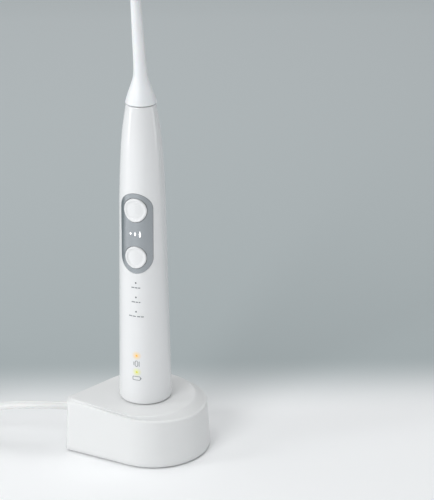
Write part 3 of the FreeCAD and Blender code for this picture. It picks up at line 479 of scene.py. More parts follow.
def make_stage():
    s = bpy.context.scene.toothbrush_stage
    half = 2.5
    mesh = bpy.data.meshes.new("floor")
    mesh.from_pydata(
        [(-half, -half, 0), (half, -half, 0), (half, half, 0), (-half, half, 0)], [], [(0, 1, 2, 3)]
    )
    floor = bpy.data.objects.new("floor", mesh)
    bpy.context.scene.collection.objects.link(floor)
    finish = bpy.data.materials.new("Painted board")
    finish.use_nodes = True
    tree = finish.node_tree
    tree.nodes.clear()
    place = add(tree, "ShaderNodeTexCoord").outputs["Object"]
    # the floor turns from white to pale grey a little behind the charger, along the view's depth
    back = Vector((-math.sin(VIEW_TURN), math.cos(VIEW_TURN), 0))
    along = add(tree, "ShaderNodeVectorMath", {"operation": "DOT_PRODUCT", 1: tuple(back)}, {0: place})
    depth = along.outputs["Value"]
    tone = mixed(tree, ranged(tree, depth, 30 * MM, 110 * MM, kind="SMOOTHSTEP"), tuple(s.near), tuple(s.far))
    tone = mixed(tree, ranged(tree, depth, 110 * MM, 900 * MM), tone, tuple(s.back))
    shader = add(tree, "ShaderNodeBsdfPrincipled", {"Roughness": 0.6}, {"Base Color": tone})
    add(tree, "ShaderNodeOutputMaterial", None, {"Surface": shader.outputs[0]})
    mesh.materials.append(finish)

    target = Vector((0, 0, 100 * MM))
    lamps = (
        ("key", (-0.33, -1.15, 0.80), 0.6, 0.6, s.key),
        ("top", (-0.05, 0.05, 1.5), 1.3, 1.3, s.top),
        ("left strip", (-0.85, -0.50, 0.35), 0.14, 0.9, s.strip),
        ("right strip", (0.72, 0.22, 0.35), 0.16, 0.9, s.rim),
    )
    for name, spot, wide, tall, power in lamps:
        lamp = bpy.data.lights.new(name, "AREA")
        lamp.shape, lamp.size, lamp.size_y, lamp.energy = "RECTANGLE", wide, tall, power
        obj = bpy.data.objects.new(name, lamp)
        obj.location = spot
        obj.rotation_euler = (target - obj.location).to_track_quat("-Z", "Y").to_euler()
        bpy.context.scene.collection.objects.link(obj)
    world = bpy.data.worlds.new("soft grey room")
    world.use_nodes = True
    room = world.node_tree.nodes["Background"].inputs
    room["Color"].default_value, room["Strength"].default_value = linear("#E4E8EA"), 0.30
    bpy.context.scene.world = world
    bpy.context.scene.view_settings.view_transform = "Standard"

    lens = bpy.data.cameras.new("camera")
    lens.lens, lens.sensor_width = CAMERA_LENS, CAMERA_SENSOR
    camera = bpy.data.objects.new("camera", lens)
    camera.location = [place * MM for place in CAMERA_SPOT]
    ahead = (target - camera.location).normalized()
    right = ahead.cross(Vector((0, 0, 1))).normalized()
    up = right.cross(ahead)
    aim = ahead + right * math.tan(AIM_RIGHT) + up * math.tan(AIM_UP)
    camera.rotation_euler = aim.to_track_quat("-Z", "Y").to_euler()
    bpy.context.scene.collection.objects.link(camera)
    bpy.context.scene.camera = camera


# ---------------------------------------------------------------- cord and plug
LEAD = [
    (-0.0425, -0.0179, 0.0272),
    (-0.0582, -0.0245, 0.0286),
    (-0.0768, -0.0252, 0.0262),
    (-0.0960, -0.0255, 0.0194),
    (-0.1140, -0.0266, 0.0116),
    (-0.1320, -0.0298, 0.0047),
    (-0.1500, -0.0312, 0.0021),
]
TAIL = [
    (-0.1725, -0.0180, 0.0112),
    (-0.1766, -0.0095, 0.0150),
    (-0.1780, -0.0010, 0.0182),
    (-0.1780, 0.0120, 0.0187),
]
COIL_MIDDLE = (-0.150, 0.005)
# each turn's radius and height, from the bottom outer turn to the top one
TURN_SLOTS = ((36.2, 2.1), (29.8, 2.1), (29.8, 5.8), (36.2, 5.8), (34.5, 9.5))
# where in its turn each turn steps over to the next slot, in degrees: later turns step earlier
STEPS = (325, 260, 195, 130)


def coil_points(turns):
    """The coil's turns, clockwise from above, each in its own slot."""
    points, per_turn = [], 14
    for i in range(1, round(turns * per_turn) + 1):
        whole, part = divmod(360 * i / per_turn, 360)
        slot = int(whole)
        now, following = TURN_SLOTS[slot], TURN_SLOTS[min(slot + 1, len(TURN_SLOTS) - 1)]
        share = 0.0
        if slot < len(STEPS):
            share = min(max((part - STEPS[slot] + 26) / 52, 0), 1)
            share = share * share * (3 - 2 * share)
        radius, height = (a + (b - a) * share for a, b in zip(now, following))
        way = math.radians(-90 - 360 * i / per_turn)
        x, y = (
            middle + radius * MM * turn
            for middle, turn in zip(COIL_MIDDLE, (math.cos(way), math.sin(way)))
        )
        points.append((x, y, height * MM))
    return points


def nurbs_line(name, route):
    """The points of a smooth NURBS line whose control points are the route."""
    curve = bpy.data.curves.new(name, "CURVE")
    curve.dimensions, curve.resolution_u = "3D", 8
    spline = curve.splines.new("NURBS")
    spline.points.add(len(route) - 1)
    for point, place in zip(spline.points, route):
        point.co = (*place, 1)
    spline.order_u, spline.use_endpoint_u = 3, True
    obj = bpy.data.objects.new(name, curve)
    bpy.context.scene.collection.objects.link(obj)
    bpy.context.view_layer.update()
    shown = obj.evaluated_get(bpy.context.evaluated_depsgraph_get())
    mesh = bpy.data.meshes.new_from_object(shown)
    line = [v.co.copy() for v in mesh.vertices]
    bpy.data.objects.remove(obj)
    bpy.data.meshes.remove(mesh)
    kept = [line[0]]
    for point in line[1:]:
        if (point - kept[-1]).length > 0.2 * MM:
            kept.append(point)
    return kept


def twin_section(wide, thick):
    """Two round cores side by side with a groove between them."""
    lobe, apart = thick / 2, (wide - thick) / 2
    reach = math.acos(-apart / lobe)
    steps = 11
    right = [
        (apart + lobe * math.cos(a), lobe * math.sin(a))
        for a in (-reach + 2 * reach * i / steps for i in range(steps + 1))
    ]
    return right[:-1] + [(-x, -y) for x, y in right[:-1]]


def make_cord():
    s = bpy.context.scene.toothbrush_cord
    line = nurbs_line("cord_route", LEAD + coil_points(s.turns) + TAIL)
    section = twin_section(s.wide, s.thick)
    rings = []
    for i, point in enumerate(line):
        way = (line[min(i + 1, len(line) - 1)] - line[max(i - 1, 0)]).normalized()
        side = Vector((0, 0, 1)).cross(way).normalized()
        up = way.cross(side)
        rings.append([point + side * x + up * y for x, y in section])
    points, faces = skinned(rings, line[0], line[-1])
    cord = mesh_piece("mains_cord", points, faces, "cord_vinyl", "charger",
                      ("cord_lead", "cord_coil", "cord_tail"), sharp=60)
    plug = make_plug()


def rounded_box_ring(half_x, half_z, y, centre, count=48, power=4.5):
    ring = []
    for i in range(count):
        a = 2 * math.pi * i / count
        c, s = math.cos(a), math.sin(a)
        scale = (abs(c) ** power + abs(s) ** power) ** (-1 / power)
        ring.append(Vector((centre[0] + half_x * c * scale, y, centre[1] + half_z * s * scale)))
    return ring


def make_plug():
    """Two-blade plug: a moulded grip with waisted, ribbed sides and a 20 mm tapered strain relief."""
    centre, start_y, straight_y = (-0.178, 0.0187), -0.008, 0.012
    profile = (  # distance along the plug, half width, half height, squareness
        (0.0, 3.6, 2.5, 2.2), (4.4, 3.9, 2.8, 2.2), (5.0, 3.5, 2.5, 2.2), (8.4, 4.3, 3.2, 2.2),
        (9.0, 3.8, 2.9, 2.2), (12.4, 4.8, 3.7, 2.3), (13.0, 4.3, 3.4, 2.3), (16.4, 5.3, 4.2, 2.5),
        (17.0, 4.8, 3.9, 2.5), (20.0, 5.9, 4.7, 2.6), (22.0, 8.2, 5.8, 3.4), (26.0, 9.9, 6.8, 4.0),
        (31.0, 10.4, 7.1, 4.5), (37.0, 10.2, 7.0, 4.5), (43.0, 10.8, 7.25, 4.8), (48.0, 11.4, 7.4, 5.0),
        (50.2, 11.4, 7.4, 5.0), (50.8, 11.1, 7.1, 5.0),
        (51.0, 10.6, 6.7, 5.0),
    )

    def middle_at(y):
        """The relief bends with the cord, which comes up to the grip from below and from the right."""
        left = max(straight_y - y, 0) ** 2
        return centre[0] + 3.0 * left, centre[1] - 8.0 * left

    rings = []
    for along, wide, high, power in profile:
        y = start_y + along * MM
        rings.append(rounded_box_ring(wide * MM, high * MM, y, middle_at(y), 48, power))
    start = Vector((middle_at(start_y)[0], start_y, middle_at(start_y)[1]))
    end = Vector((centre[0], start_y + profile[-1][0] * MM, centre[1]))
    points, faces = skinned(rings, start, end)
    for k in range(5):  # grip ribs on both sides
        middle = start_y + (28.5 + 3.0 * k) * MM
        for side in (-1, 1):
            inner, outer = centre[0] + side * 9.6 * MM, centre[0] + side * 10.95 * MM
            box = len(points)
            corners = [
                (x, middle + dy, centre[1] + dz)
                for x, grow in ((inner, 0.75), (outer, 0.4))
                for dy, dz in (
                    (-grow * MM, -4.4 * MM), (grow * MM, -4.4 * MM),
                    (grow * MM, 4.4 * MM), (-grow * MM, 4.4 * MM)
                )
            ]
            points += [Vector(c) for c in corners]
            quads = ((0, 3, 2, 1), (4, 5, 6, 7), (0, 1, 5, 4), (1, 2, 6, 5), (2, 3, 7, 6), (3, 0, 4, 7))
            faces += [tuple(box + i for i in quad) for quad in quads]
    return mesh_piece("plug_grip", points, faces, "plug_vinyl", "charger", ("plug_body",), sharp=50)


# ---------------------------------------------------------------- charger
def drop_ring(grow, middle, radius, height, slope=0.0):
    """A ring of the drop-shaped outline, turned with the charger and falling towards the nose."""
    s = bpy.context.scene.toothbrush_charger
    big, small = radius + grow, s.tail_corner
    corner = Vector((small - s.tail_reach - grow, s.tail_half + grow - small))
    gap = corner - Vector((middle, 0))
    lean = math.atan2(gap.y, gap.x) - math.acos((big - small) / gap.length)

    def arc(centre, size, first, last, steps):
        return [
            Vector((centre[0] + size * math.cos(a), centre[1] + size * math.sin(a)))
            for a in (first + (last - first) * i / steps for i in range(steps + 1))
        ]

    nose = arc((middle, 0), big, -lean, lean, 72)
    upper = arc(corner, small, lean, math.pi, 8)
    lower = [Vector((p.x, -p.y)) for p in reversed(upper)]

    def between(a, b, steps):
        return [a.lerp(b, i / steps) for i in range(1, steps)]

    flat = (
        nose + between(nose[-1], upper[0], 14) + upper
        + between(upper[-1], lower[0], 4) + lower + between(lower[-1], nose[0], 14)
    )
    turn = Matrix.Rotation(s.turn, 3, "Z")
    return [turn @ Vector((p.x, p.y, height - math.tan(slope) * p.x)) for p in flat]


def blend_rings(first, last, share):
    return [a.lerp(b, share) for a, b in zip(first, last)]


def round_ring(like, radius, height):
    """A circle about the peg with the same directions as the ring it follows."""
    return [Vector((p.x, p.y, 0)).normalized() * radius + Vector((0, 0, height)) for p in like]


def make_charger():
    s = bpy.context.scene.toothbrush_charger
    nose, middle, soft = s.nose_radius, s.nose_shift, s.edge_round
    foot = drop_ring(s.draft, middle, nose, s.lift + 0.5 * MM)
    side = drop_ring(0, middle, nose, s.edge - soft, s.slope)
    rings = [drop_ring(s.draft - 0.5 * MM, middle, nose, s.lift)]
    rings += [blend_rings(foot, side, i / 10) for i in range(11)]
    for i in range(1, 8):
        a = math.radians(90 * i / 7)
        rings.append(
            drop_ring(-soft * (1 - math.cos(a)), middle, nose, s.edge - soft + soft * math.sin(a), s.slope)
        )
    step = 2 * MM
    top = drop_ring(-step, 0, s.plateau_radius + step, s.plateau)
    edge = rings[-1]
    rings += [blend_rings(edge, top, i / 8) for i in range(1, 8)]
    root = 0.5 * MM  # fillet at the peg's root
    hub = round_ring(top, s.peg_radius + root, s.plateau)
    rings += [blend_rings(top, hub, u) for u in (0.01, 0.03, 0.08, 0.25, 0.5, 0.75, 0.95, 1.0)]
    for i in range(1, 5):
        a = math.radians(90 * i / 4)
        rings.append(
            round_ring(
                top, s.peg_radius + root * (1 - math.sin(a)), s.plateau + root * (1 - math.cos(a))
            )
        )
    peg_top = s.plateau + s.peg_high
    rings.append(round_ring(top, s.peg_radius, peg_top - 1 * MM))
    for i in range(1, 6):
        a = math.radians(90 * i / 5)
        rings.append(
            round_ring(top, s.peg_radius - 1 * MM * (1 - math.cos(a)), peg_top - 1 * MM * (1 - math.sin(a)))
        )
    outer_points, outer_faces = skinned(rings, end=Vector((0, 0, peg_top)))
    # the hollow inside, up into the peg
    roof = s.edge - 1.2 * s.wall
    low = drop_ring(s.draft - s.wall, middle, nose, s.lift)
    high = drop_ring(-s.wall, middle, nose, roof, s.slope)
    bore = s.peg_radius - 1 * MM
    inner = [low, high, blend_rings(high, round_ring(high, bore, roof), 0.5), round_ring(high, bore, roof)]
    inner.append(round_ring(high, bore, peg_top - 1 * MM))
    inner_points, inner_faces = skinned(inner, end=Vector((0, 0, peg_top - 1 * MM)))
    shift, count = len(outer_points), len(low)
    points = outer_points + inner_points
    faces = outer_faces + [tuple(i + shift for i in face) for face in inner_faces]
    faces += [(i, (i + 1) % count, shift + (i + 1) % count, shift + i) for i in range(count)]
    mesh_piece("charger_body", points, faces, "charger_plastic", "charger", ("charger_housing",), sharp=85)


# ---------------------------------------------------------------- handle
def make_handle():
    case = smooth_copy("handle_shell", "handle_case", "handle_plastic", "handle")
    s = bpy.context.scene.toothbrush_handle
    # the foot's corner is squarer than a plain round: the round's points move out towards its corner
    size, power = 2.2 * MM, 5
    middle = Vector((s.foot_radius - size, s.foot + size))
    for vertex in case.data.vertices:
        radius = vertex.co.xy.length
        out, down = radius - middle.x, middle.y - vertex.co.z
        if out > 0 and down > 0 and abs(math.hypot(out, down) - size) < 0.1 * MM:
            c, d = out / size, down / size
            grow = (c**power + d**power) ** (-1 / power)
            vertex.co.xy *= (middle.x + size * c * grow) / radius
            vertex.co.z = middle.y - size * d * grow
    smooth_copy("front_panel", "silver_panel", "panel_silver", "handle")


def make_button(name, rise, half, body, node):
    """A button with a raised round rim and a shallow finger dish, curved with the handle."""
    s = bpy.context.scene.toothbrush_button
    low = s.proud - s.dish
    profile = [  # share of the half width, height above the handle's face
        (0.12, low - 0.04 * MM), (0.35, low - 0.02 * MM), (0.58, low + 0.02 * MM), (0.70, low + 0.08 * MM),
        (0.76, low + 0.20 * MM), (0.81, s.proud - 0.10 * MM), (0.85, s.proud - 0.02 * MM), (0.885, s.proud),
        (0.92, s.proud - 0.02 * MM), (0.95, s.proud - 0.10 * MM), (0.975, s.proud - 0.25 * MM),
        (0.992, s.proud - 0.45 * MM), (1.0, s.proud - 0.7 * MM), (1.0, -s.deep), (0.5, -s.deep),
    ]
    count = 96
    rings = []
    for share, proud in profile:
        ring = []
        for i in range(count):
            a = 2 * math.pi * i / count
            x, z = half * share * math.cos(a), half * s.tall * share * math.sin(a)
            ring.append(on_handle(x, rise + z, proud))
        rings.append(ring)
    points, faces = skinned(
        rings, on_handle(0, rise, profile[0][1] - 0.01 * MM), on_handle(0, rise, -s.deep)
    )
    mesh_piece(name, points, faces, "button_plastic", body, (node,), sharp=50)


def make_buttons():
    s = bpy.context.scene.toothbrush_button
    make_button("power_key", s.power_rise, s.power_half, "power_button", "power_button")
    make_button("mode_key", s.mode_rise, s.mode_half, "mode_button", "mode_button")


def strip(points, faces, way, wide, closed=False):
    """Adds a thin printed line to points and faces: way is (x, rise) in mm, wide its width in mm."""
    fine = []
    stops = way + way[:1] if closed else way
    for a, b in zip(stops, stops[1:]):
        steps = max(1, round(math.dist(a, b) / 0.4))
        fine += [(a[0] + (b[0] - a[0]) * i / steps, a[1] + (b[1] - a[1]) * i / steps) for i in range(steps)]
    if not closed:
        fine.append(way[-1])
    start, count = len(points), len(fine)
    for i, (x, z) in enumerate(fine):
        before = fine[i - 1] if i or closed else fine[i]
        after = fine[(i + 1) % count] if i + 1 < count or closed else fine[i]
        dx, dz = after[0] - before[0], after[1] - before[1]
        size = math.hypot(dx, dz) or 1
        nx, nz = -dz / size * wide / 2, dx / size * wide / 2
        for sign, proud in ((1, 0.04), (-1, 0.04), (-1, -0.06), (1, -0.06)):
            points.append(on_handle((x + sign * nx) * MM, (z + sign * nz) * MM, proud * MM))
    pairs = [(i, i + 1) for i in range(count - 1)] + ([(count - 1, 0)] if closed else [])
    for a, b in pairs:
        for k in range(4):
            m = (k + 1) % 4
            faces.append((start + 4 * a + k, start + 4 * a + m, start + 4 * b + m, start + 4 * b + k))
    if not closed:
        faces.append(tuple(start + k for k in (3, 2, 1, 0)))
        faces.append(tuple(start + 4 * (count - 1) + k for k in range(4)))


def make_marks():
    """Plain bars in place of words, and a brush and a battery symbol at the status lights."""
    points, faces = [], []
    bars = (
        (72.8, ((-2.6, -1.0), (-0.6, 1.0), (1.4, 2.6))),
        (64.0, ((-2.6, -0.4), (0.0, 1.2), (1.6, 2.6))),
        (55.2, ((-4.4, -2.4), (-2.0, -0.2), (0.6, 2.4), (2.8, 4.4))),
    )
    for rise, dashes in bars:
        for first, last in dashes:
            strip(points, faces, [(first, rise), (last, rise)], 0.6)
    # brush symbol: a rounded head with a stem beside it
    brush = [
        (-0.9, 24.5), (-0.9, 26.6), (-0.5, 27.4), (0.3, 27.4),
        (0.7, 26.6), (0.7, 24.5), (0.2, 24.0), (-0.4, 24.0),
    ]
    strip(points, faces, brush, 0.35, closed=True)
    strip(points, faces, [(1.5, 24.0), (1.5, 27.2)], 0.35)
    strip(points, faces, [(-1.7, 24.6), (-1.7, 26.8)], 0.35)
    battery = [
        (-2.1, 15.4), (1.7, 15.4), (2.1, 15.8), (2.1, 17.2),
        (1.7, 17.6), (-2.1, 17.6), (-2.4, 17.2), (-2.4, 15.8),
    ]
    strip(points, faces, battery, 0.35, closed=True)
    strip(points, faces, [(2.5, 16.0), (2.5, 17.0)], 0.35)
    mesh_piece("printed_marks", points, faces, "handle_plastic", "handle", sharp=60, ink="ink")
    make_level_drops()


DROPS_RISE = 105.3  # mm, the middle of the lit drops above the foot


def make_level_drops():
    """Three lit drops that grow from left to right, just proud of the panel."""
    points, faces, count = [], [], 28
    for x, half, tall in ((-2.7, 0.34, 0.8), (0.0, 0.5, 1.25), (2.7, 0.62, 1.9)):
        rings = []
        for proud in (0.05, 0.19):
            ring = []
            for i in range(count):
                a = 2 * math.pi * i / count
                wide = half * (0.625 - 0.375 * math.sin(a))
                across, rise = x + wide * math.cos(a), DROPS_RISE + tall * math.sin(a)
                ring.append(on_handle(across * MM, rise * MM, proud * MM))
            rings.append(ring)
        low, high = (on_handle(x * MM, DROPS_RISE * MM, proud * MM) for proud in (0.05, 0.20))
        more, skin = skinned(rings, low, high)
        shift = len(points)
        points += more
        faces += [tuple(i + shift for i in face) for face in skin]
    mesh_piece("level_drops", points, faces, "lens_clear", "handle", sharp=60)


# ---------------------------------------------------------------- brush head
def head_point(x, y, rise):
    """A point in the leaning head: x across, y behind its axis, rise above the skirt's edge."""
    s = bpy.context.scene.toothbrush_brush
    along = rise - s.lean_start
    return Vector(
        (
            x,
            y * math.cos(s.lean) - along * math.sin(s.lean),
            s.skirt + s.lean_start + along * math.cos(s.lean) + y * math.sin(s.lean),
        )
    )


def eased(stops, place):
    """A smooth curve through (place, value) stops."""
    for k in range(len(stops) - 1):
        (a, left), (b, right) = stops[k], stops[k + 1]
        if place <= b or k == len(stops) - 2:
            before = stops[k - 1] if k else stops[k]
            after = stops[k + 2] if k + 2 < len(stops) else stops[k + 1]
            first = (right - before[1]) / (b - before[0]) if k else (right - left) / (b - a)
            last = (after[1] - left) / (after[0] - a)
            t = (place - a) / (b - a)
            t2, t3 = t * t, t * t * t
            return (
                (2 * t3 - 3 * t2 + 1) * left + (t3 - 2 * t2 + t) * (b - a) * first
                + (3 * t2 - 2 * t3) * right + (t3 - t2) * (b - a) * last
            )


def make_neck():
    """A skirt that flares over the handle's top, a slender leaning neck and the bristle plate."""
    s = bpy.context.scene.toothbrush_brush
    stops = [(0, 8.75), (5, 7.3), (10.5, 5.35), (16, 3.95), (35, 3.36), (69, 2.65)]
    count, rings = 64, []

    def neck_ring(rise, radius):
        ahead = -max(0, rise - 17) * math.tan(s.lean)
        z = s.skirt + rise * MM
        return [
            Vector((radius * MM * math.cos(a), ahead * MM + radius * MM * math.sin(a), z))
            for a in (2 * math.pi * i / count for i in range(count))
        ]

    rings += [neck_ring(0, 7.65), neck_ring(0, 8.55), neck_ring(0.25, 8.70)]
    rings += [neck_ring(rise, eased(stops, rise)) for rise in [0.8 + 0.7 * i for i in range(24)]]
    rings += [neck_ring(rise, eased(stops, rise)) for rise in [18 + 2.55 * i for i in range(21)]]
    hollow = ((0, 7.65), (4.6, 6.04), (9.3, 4.4), (14, 2.75), (19.4, 2.75))
    inner = [neck_ring(rise, radius) for rise, radius in hollow]
    body = rings[::-1] + inner[1:]
    top, low = rings[-1], inner[-1]
    middle_top = sum(top, Vector()) / count
    middle_low = sum(low, Vector()) / count
    points, faces = skinned(body, middle_top, middle_low)
    # bristle plate: pill outline, edges rounded by 1.2 mm, its back a little crowned
    thick, half, long = s.plate_thick, s.plate_half, s.plate_long
    back, front = thick / 3, thick / 3 - thick
    profile = [(1.2, 0.0), (0.72, 0.09), (0.35, 0.35), (0.09, 0.72), (0.0, 1.2)]
    levels = [(inset, back - down * MM) for inset, down in profile]
    levels += [(inset, front + down * MM) for inset, down in reversed(profile)]
    outline_steps = 48
    plate_rings = []
    for inset, y in levels:
        reach, ring = half - inset * MM, []
        for i in range(outline_steps):
            a = 2 * math.pi * (i + 0.5) / outline_steps
            end = long - half if math.sin(a) > 0 else half
            ring.append(head_point(reach * math.cos(a), y, s.plate_low + end + reach * math.sin(a)))
        plate_rings.append(ring)
    centre_back = head_point(0, back + 0.25 * MM, s.plate_low + long / 2)
    centre_front = head_point(0, front, s.plate_low + long / 2)
    plate_points, plate_faces = skinned(plate_rings, centre_back, centre_front)
    shift = len(points)
    points += plate_points
    faces += [tuple(i + shift for i in face) for face in plate_faces]
    mesh_piece("brush_neck_body", points, faces, "brush_plastic", "brush_head", ("brush_neck",), sharp=40)


def tuft_places():
    """The head's tuft places, outer and indicator, as the head's pattern gives them."""
    s = bpy.context.scene.toothbrush_brush
    rows = int((s.plate_long - s.plate_half) / s.pitch)
    outer, inner = [], []
    for row in range(rows):
        z = s.plate_long / 2 + (row - (rows - 1) / 2) * s.pitch
        past = max(0, s.plate_half - z, z - (s.plate_long - s.plate_half))
        for column in (-1.5, -0.5, 0.5, 1.5):
            x = column * s.pitch
            if math.hypot(x, past) + s.tuft_radius + 0.6 * MM > s.plate_half:
                continue
            place = head_point(x, -2 * s.plate_thick / 3, s.plate_low + z)
            (inner if abs(column) < 1 and 2 <= row < rows - 2 else outer).append(place)
    return outer, inner


def bristle_tree():
    """Geometry Nodes: filaments packed in a round tuft, and a tuft at each point."""
    if "Bristle Tufts" in bpy.data.node_groups:
        return bpy.data.node_groups["Bristle Tufts"]
    tree = bpy.data.node_groups.new("Bristle Tufts", "GeometryNodeTree")
    sockets = (
        ("Geometry", "NodeSocketGeometry"), ("Tuft Radius", "NodeSocketFloat"),
        ("Bristle Length", "NodeSocketFloat"), ("Filament Radius", "NodeSocketFloat"),
        ("Filaments", "NodeSocketInt"), ("Uneven", "NodeSocketFloat"), ("Lean", "NodeSocketFloat"),
        ("Seed", "NodeSocketInt"), ("Material", "NodeSocketMaterial"),
    )
    for name, kind in sockets:
        tree.interface.new_socket(name, in_out="INPUT", socket_type=kind)
    tree.interface.new_socket("Geometry", in_out="OUTPUT", socket_type="NodeSocketGeometry")
    given = add(tree, "NodeGroupInput").outputs
    index = add(tree, "GeometryNodeInputIndex").outputs[0]
    share = worked(tree, "DIVIDE", index, given["Filaments"])
    reach = worked(tree, "MULTIPLY", worked(tree, "SQRT", share), given["Tuft Radius"])
    # the golden angle packs the filaments evenly
    turn = worked(tree, "MULTIPLY", index, 2.39996)
    x, y = (worked(tree, "MULTIPLY", reach, worked(tree, kind, turn)) for kind in ("COSINE", "SINE"))
    spot = add(tree, "ShaderNodeCombineXYZ", None, {"X": x, "Y": y})
    packed = add(
        tree, "GeometryNodePoints", None, {"Count": given["Filaments"], "Position": spot.outputs[0]}
    )
    filament = add(
        tree,
        "GeometryNodeMeshCone",
        {"Vertices": 6},
        {"Radius Top": given["Filament Radius"], "Radius Bottom": given["Filament Radius"],
         "Depth": given["Bristle Length"]},
    )
    tuft = add(
        tree,
        "GeometryNodeInstanceOnPoints",
        None,
        {"Points": packed.outputs[0], "Instance": filament.outputs["Mesh"]},
    )
    places = add(tree, "GeometryNodeMeshToPoints", None, {"Mesh": given["Geometry"]})
    tip = add(tree, "ShaderNodeCombineXYZ", None, {"X": given["Lean"]})
    shortest = worked(tree, "SUBTRACT", 1.0, given["Uneven"])
    varied = add(
        tree,
        "FunctionNodeRandomValue",
        {"data_type": "FLOAT", 3: 1.0},
        {2: shortest, "Seed": given["Seed"]},
    )
    scale = add(tree, "ShaderNodeCombineXYZ", {"X": 1.0, "Y": 1.0}, {"Z": varied.outputs[1]})
    field = add(
        tree,
        "GeometryNodeInstanceOnPoints",
        None,
        {"Points": places.outputs[0], "Instance": tuft.outputs[0], "Rotation": tip.outputs[0],
         "Scale": scale.outputs[0]},
    )
    real = add(tree, "GeometryNodeRealizeInstances", None, {"Geometry": field.outputs[0]})
    painted = add(
        tree, "GeometryNodeSetMaterial", None, {"Geometry": real.outputs[0], "Material": given["Material"]}
    )
    add(tree, "NodeGroupOutput", None, {"Geometry": painted.outputs[0]})
    return tree


def make_bristles():
    s = bpy.context.scene.toothbrush_brush
    tree = bristle_tree()
    ids = {item.name: item.identifier for item in tree.interface.items_tree if item.in_out == "INPUT"}
    outer, inner = tuft_places()
    fields = (
        ("outer_bristles", outer, "white_bristle", "outer_tufts", s.bristle, 3),
        ("indicator_bristles", inner, "blue_bristle", "indicator_tufts", s.bristle * 0.95, 8),
    )
    for name, places, slot, node, long, seed in fields:
        seeds = bpy.data.meshes.new(name + "_places")
        seeds.from_pydata([tuple(p) for p in places], [], [])
        holder = bpy.data.objects.new(name + "_places", seeds)
        bpy.context.scene.collection.objects.link(holder)
        modifier = holder.modifiers.new("tufts", "NODES")
        modifier.node_group = tree
        values = {
            "Tuft Radius": s.tuft_radius - 0.1 * MM, "Bristle Length": long,
            "Filament Radius": 0.11 * MM, "Filaments": s.filaments, "Uneven": 0.06,
            "Lean": math.pi / 2 + s.lean, "Seed": seed, "Material": material(slot),
        }
        for key, value in values.items():
            modifier[ids[key]] = value
        bpy.context.view_layer.update()
        shown = holder.evaluated_get(bpy.context.evaluated_depsgraph_get())
        mesh = bpy.data.meshes.new_from_object(shown)
        holder.modifiers.remove(modifier)
        bpy.data.objects.remove(holder)
        if not len(mesh.polygons):
            raise RuntimeError(f"{name} came out empty")
        hand_over(name, mesh, slot, "brush_head", (node,), sharp=60, outward=False)


def finish_inner_parts():
    """Gives every carried-over part its finish."""
    for slot, nodes in SLOT_NODES.items():
        for node in nodes:
            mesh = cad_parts[node].data
            mesh.materials.clear()
            mesh.materials.append(material(slot))


# ---------------------------------------------------------------- operators and panel
class Builder:
    """What every operator does: it runs its own build function."""

    def execute(self, context):
        self.build()
        return {"FINISHED"}


class TOOTHBRUSH_OT_stage(Builder, bpy.types.Operator):
    """Add the pale floor, the soft lights and the camera"""

    bl_idname = "toothbrush.stage"
    bl_label = "Stage"
    build = staticmethod(make_stage)


class TOOTHBRUSH_OT_cord(Builder, bpy.types.Operator):
    """Add the flat cord with its coil and plug"""

    bl_idname = "toothbrush.cord"
    bl_label = "Cord and Plug"
    build = staticmethod(make_cord)


class TOOTHBRUSH_OT_charger(Builder, bpy.types.Operator):
    """Add the charger's housing with its plateau and peg"""

    bl_idname = "toothbrush.charger"
    bl_label = "Charger"
    build = staticmethod(make_charger)


class TOOTHBRUSH_OT_handle(Builder, bpy.types.Operator):
    """Add the handle's case and its front panel"""

    bl_idname = "toothbrush.handle"
    bl_label = "Handle"
    build = staticmethod(make_handle)


class TOOTHBRUSH_OT_buttons(Builder, bpy.types.Operator):
    """Add the two dished buttons"""

    bl_idname = "toothbrush.buttons"
    bl_label = "Buttons"
    build = staticmethod(make_buttons)


class TOOTHBRUSH_OT_marks(Builder, bpy.types.Operator):
    """Add the printed bars and symbols"""

    bl_idname = "toothbrush.marks"
    bl_label = "Printed Marks"
    build = staticmethod(make_marks)


class TOOTHBRUSH_OT_neck(Builder, bpy.types.Operator):
    """Add the brush head's skirt, neck and bristle plate"""

    bl_idname = "toothbrush.neck"
    bl_label = "Brush Neck"
    build = staticmethod(make_neck)


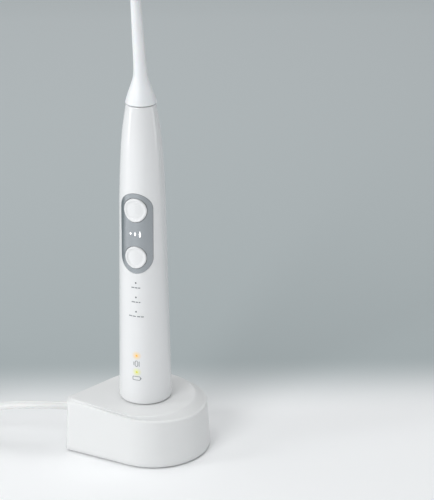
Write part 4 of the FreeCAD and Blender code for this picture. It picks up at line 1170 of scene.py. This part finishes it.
class TOOTHBRUSH_OT_bristles(Builder, bpy.types.Operator):
    """Add the white and the indicator bristles"""

    bl_idname = "toothbrush.bristles"
    bl_label = "Bristles"
    build = staticmethod(make_bristles)


class TOOTHBRUSH_OT_inner_parts(Builder, bpy.types.Operator):
    """Give the lights, seals, electronics and motor their finishes"""

    bl_idname = "toothbrush.inner_parts"
    bl_label = "Inner Parts"
    build = staticmethod(finish_inner_parts)


OPERATORS = (
    TOOTHBRUSH_OT_stage, TOOTHBRUSH_OT_cord, TOOTHBRUSH_OT_charger, TOOTHBRUSH_OT_handle,
    TOOTHBRUSH_OT_buttons, TOOTHBRUSH_OT_marks, TOOTHBRUSH_OT_neck, TOOTHBRUSH_OT_bristles,
    TOOTHBRUSH_OT_inner_parts,
)
SETTINGS = {
    "toothbrush_stage": StageSettings,
    "toothbrush_cord": CordSettings,
    "toothbrush_charger": ChargerSettings,
    "toothbrush_handle": HandleSettings,
    "toothbrush_button": ButtonSettings,
    "toothbrush_brush": BrushSettings,
}


class TOOTHBRUSH_PT_panel(bpy.types.Panel):
    """Lists the pieces and their sizes"""

    bl_idname = "TOOTHBRUSH_PT_panel"
    bl_label = "Toothbrush"
    bl_space_type = "VIEW_3D"
    bl_region_type = "UI"
    bl_category = "Toothbrush"

    def draw(self, context):
        for operator in OPERATORS:
            self.layout.operator(operator.bl_idname)
        for name, group in SETTINGS.items():
            box = self.layout.box()
            for key in group.__annotations__:
                box.prop(getattr(context.scene, name), key)


def register():
    for name, group in SETTINGS.items():
        bpy.utils.register_class(group)
        setattr(bpy.types.Scene, name, PointerProperty(type=group))
    for each in (*OPERATORS, TOOTHBRUSH_PT_panel):
        bpy.utils.register_class(each)


def unregister():
    for each in reversed((*OPERATORS, TOOTHBRUSH_PT_panel)):
        bpy.utils.unregister_class(each)
    for name, group in reversed(list(SETTINGS.items())):
        delattr(bpy.types.Scene, name)
        bpy.utils.unregister_class(group)


def main():
    register()
    for operator in OPERATORS:
        group, name = operator.bl_idname.split(".")
        getattr(getattr(bpy.ops, group), name)()


if __name__ == "__main__":
    main()
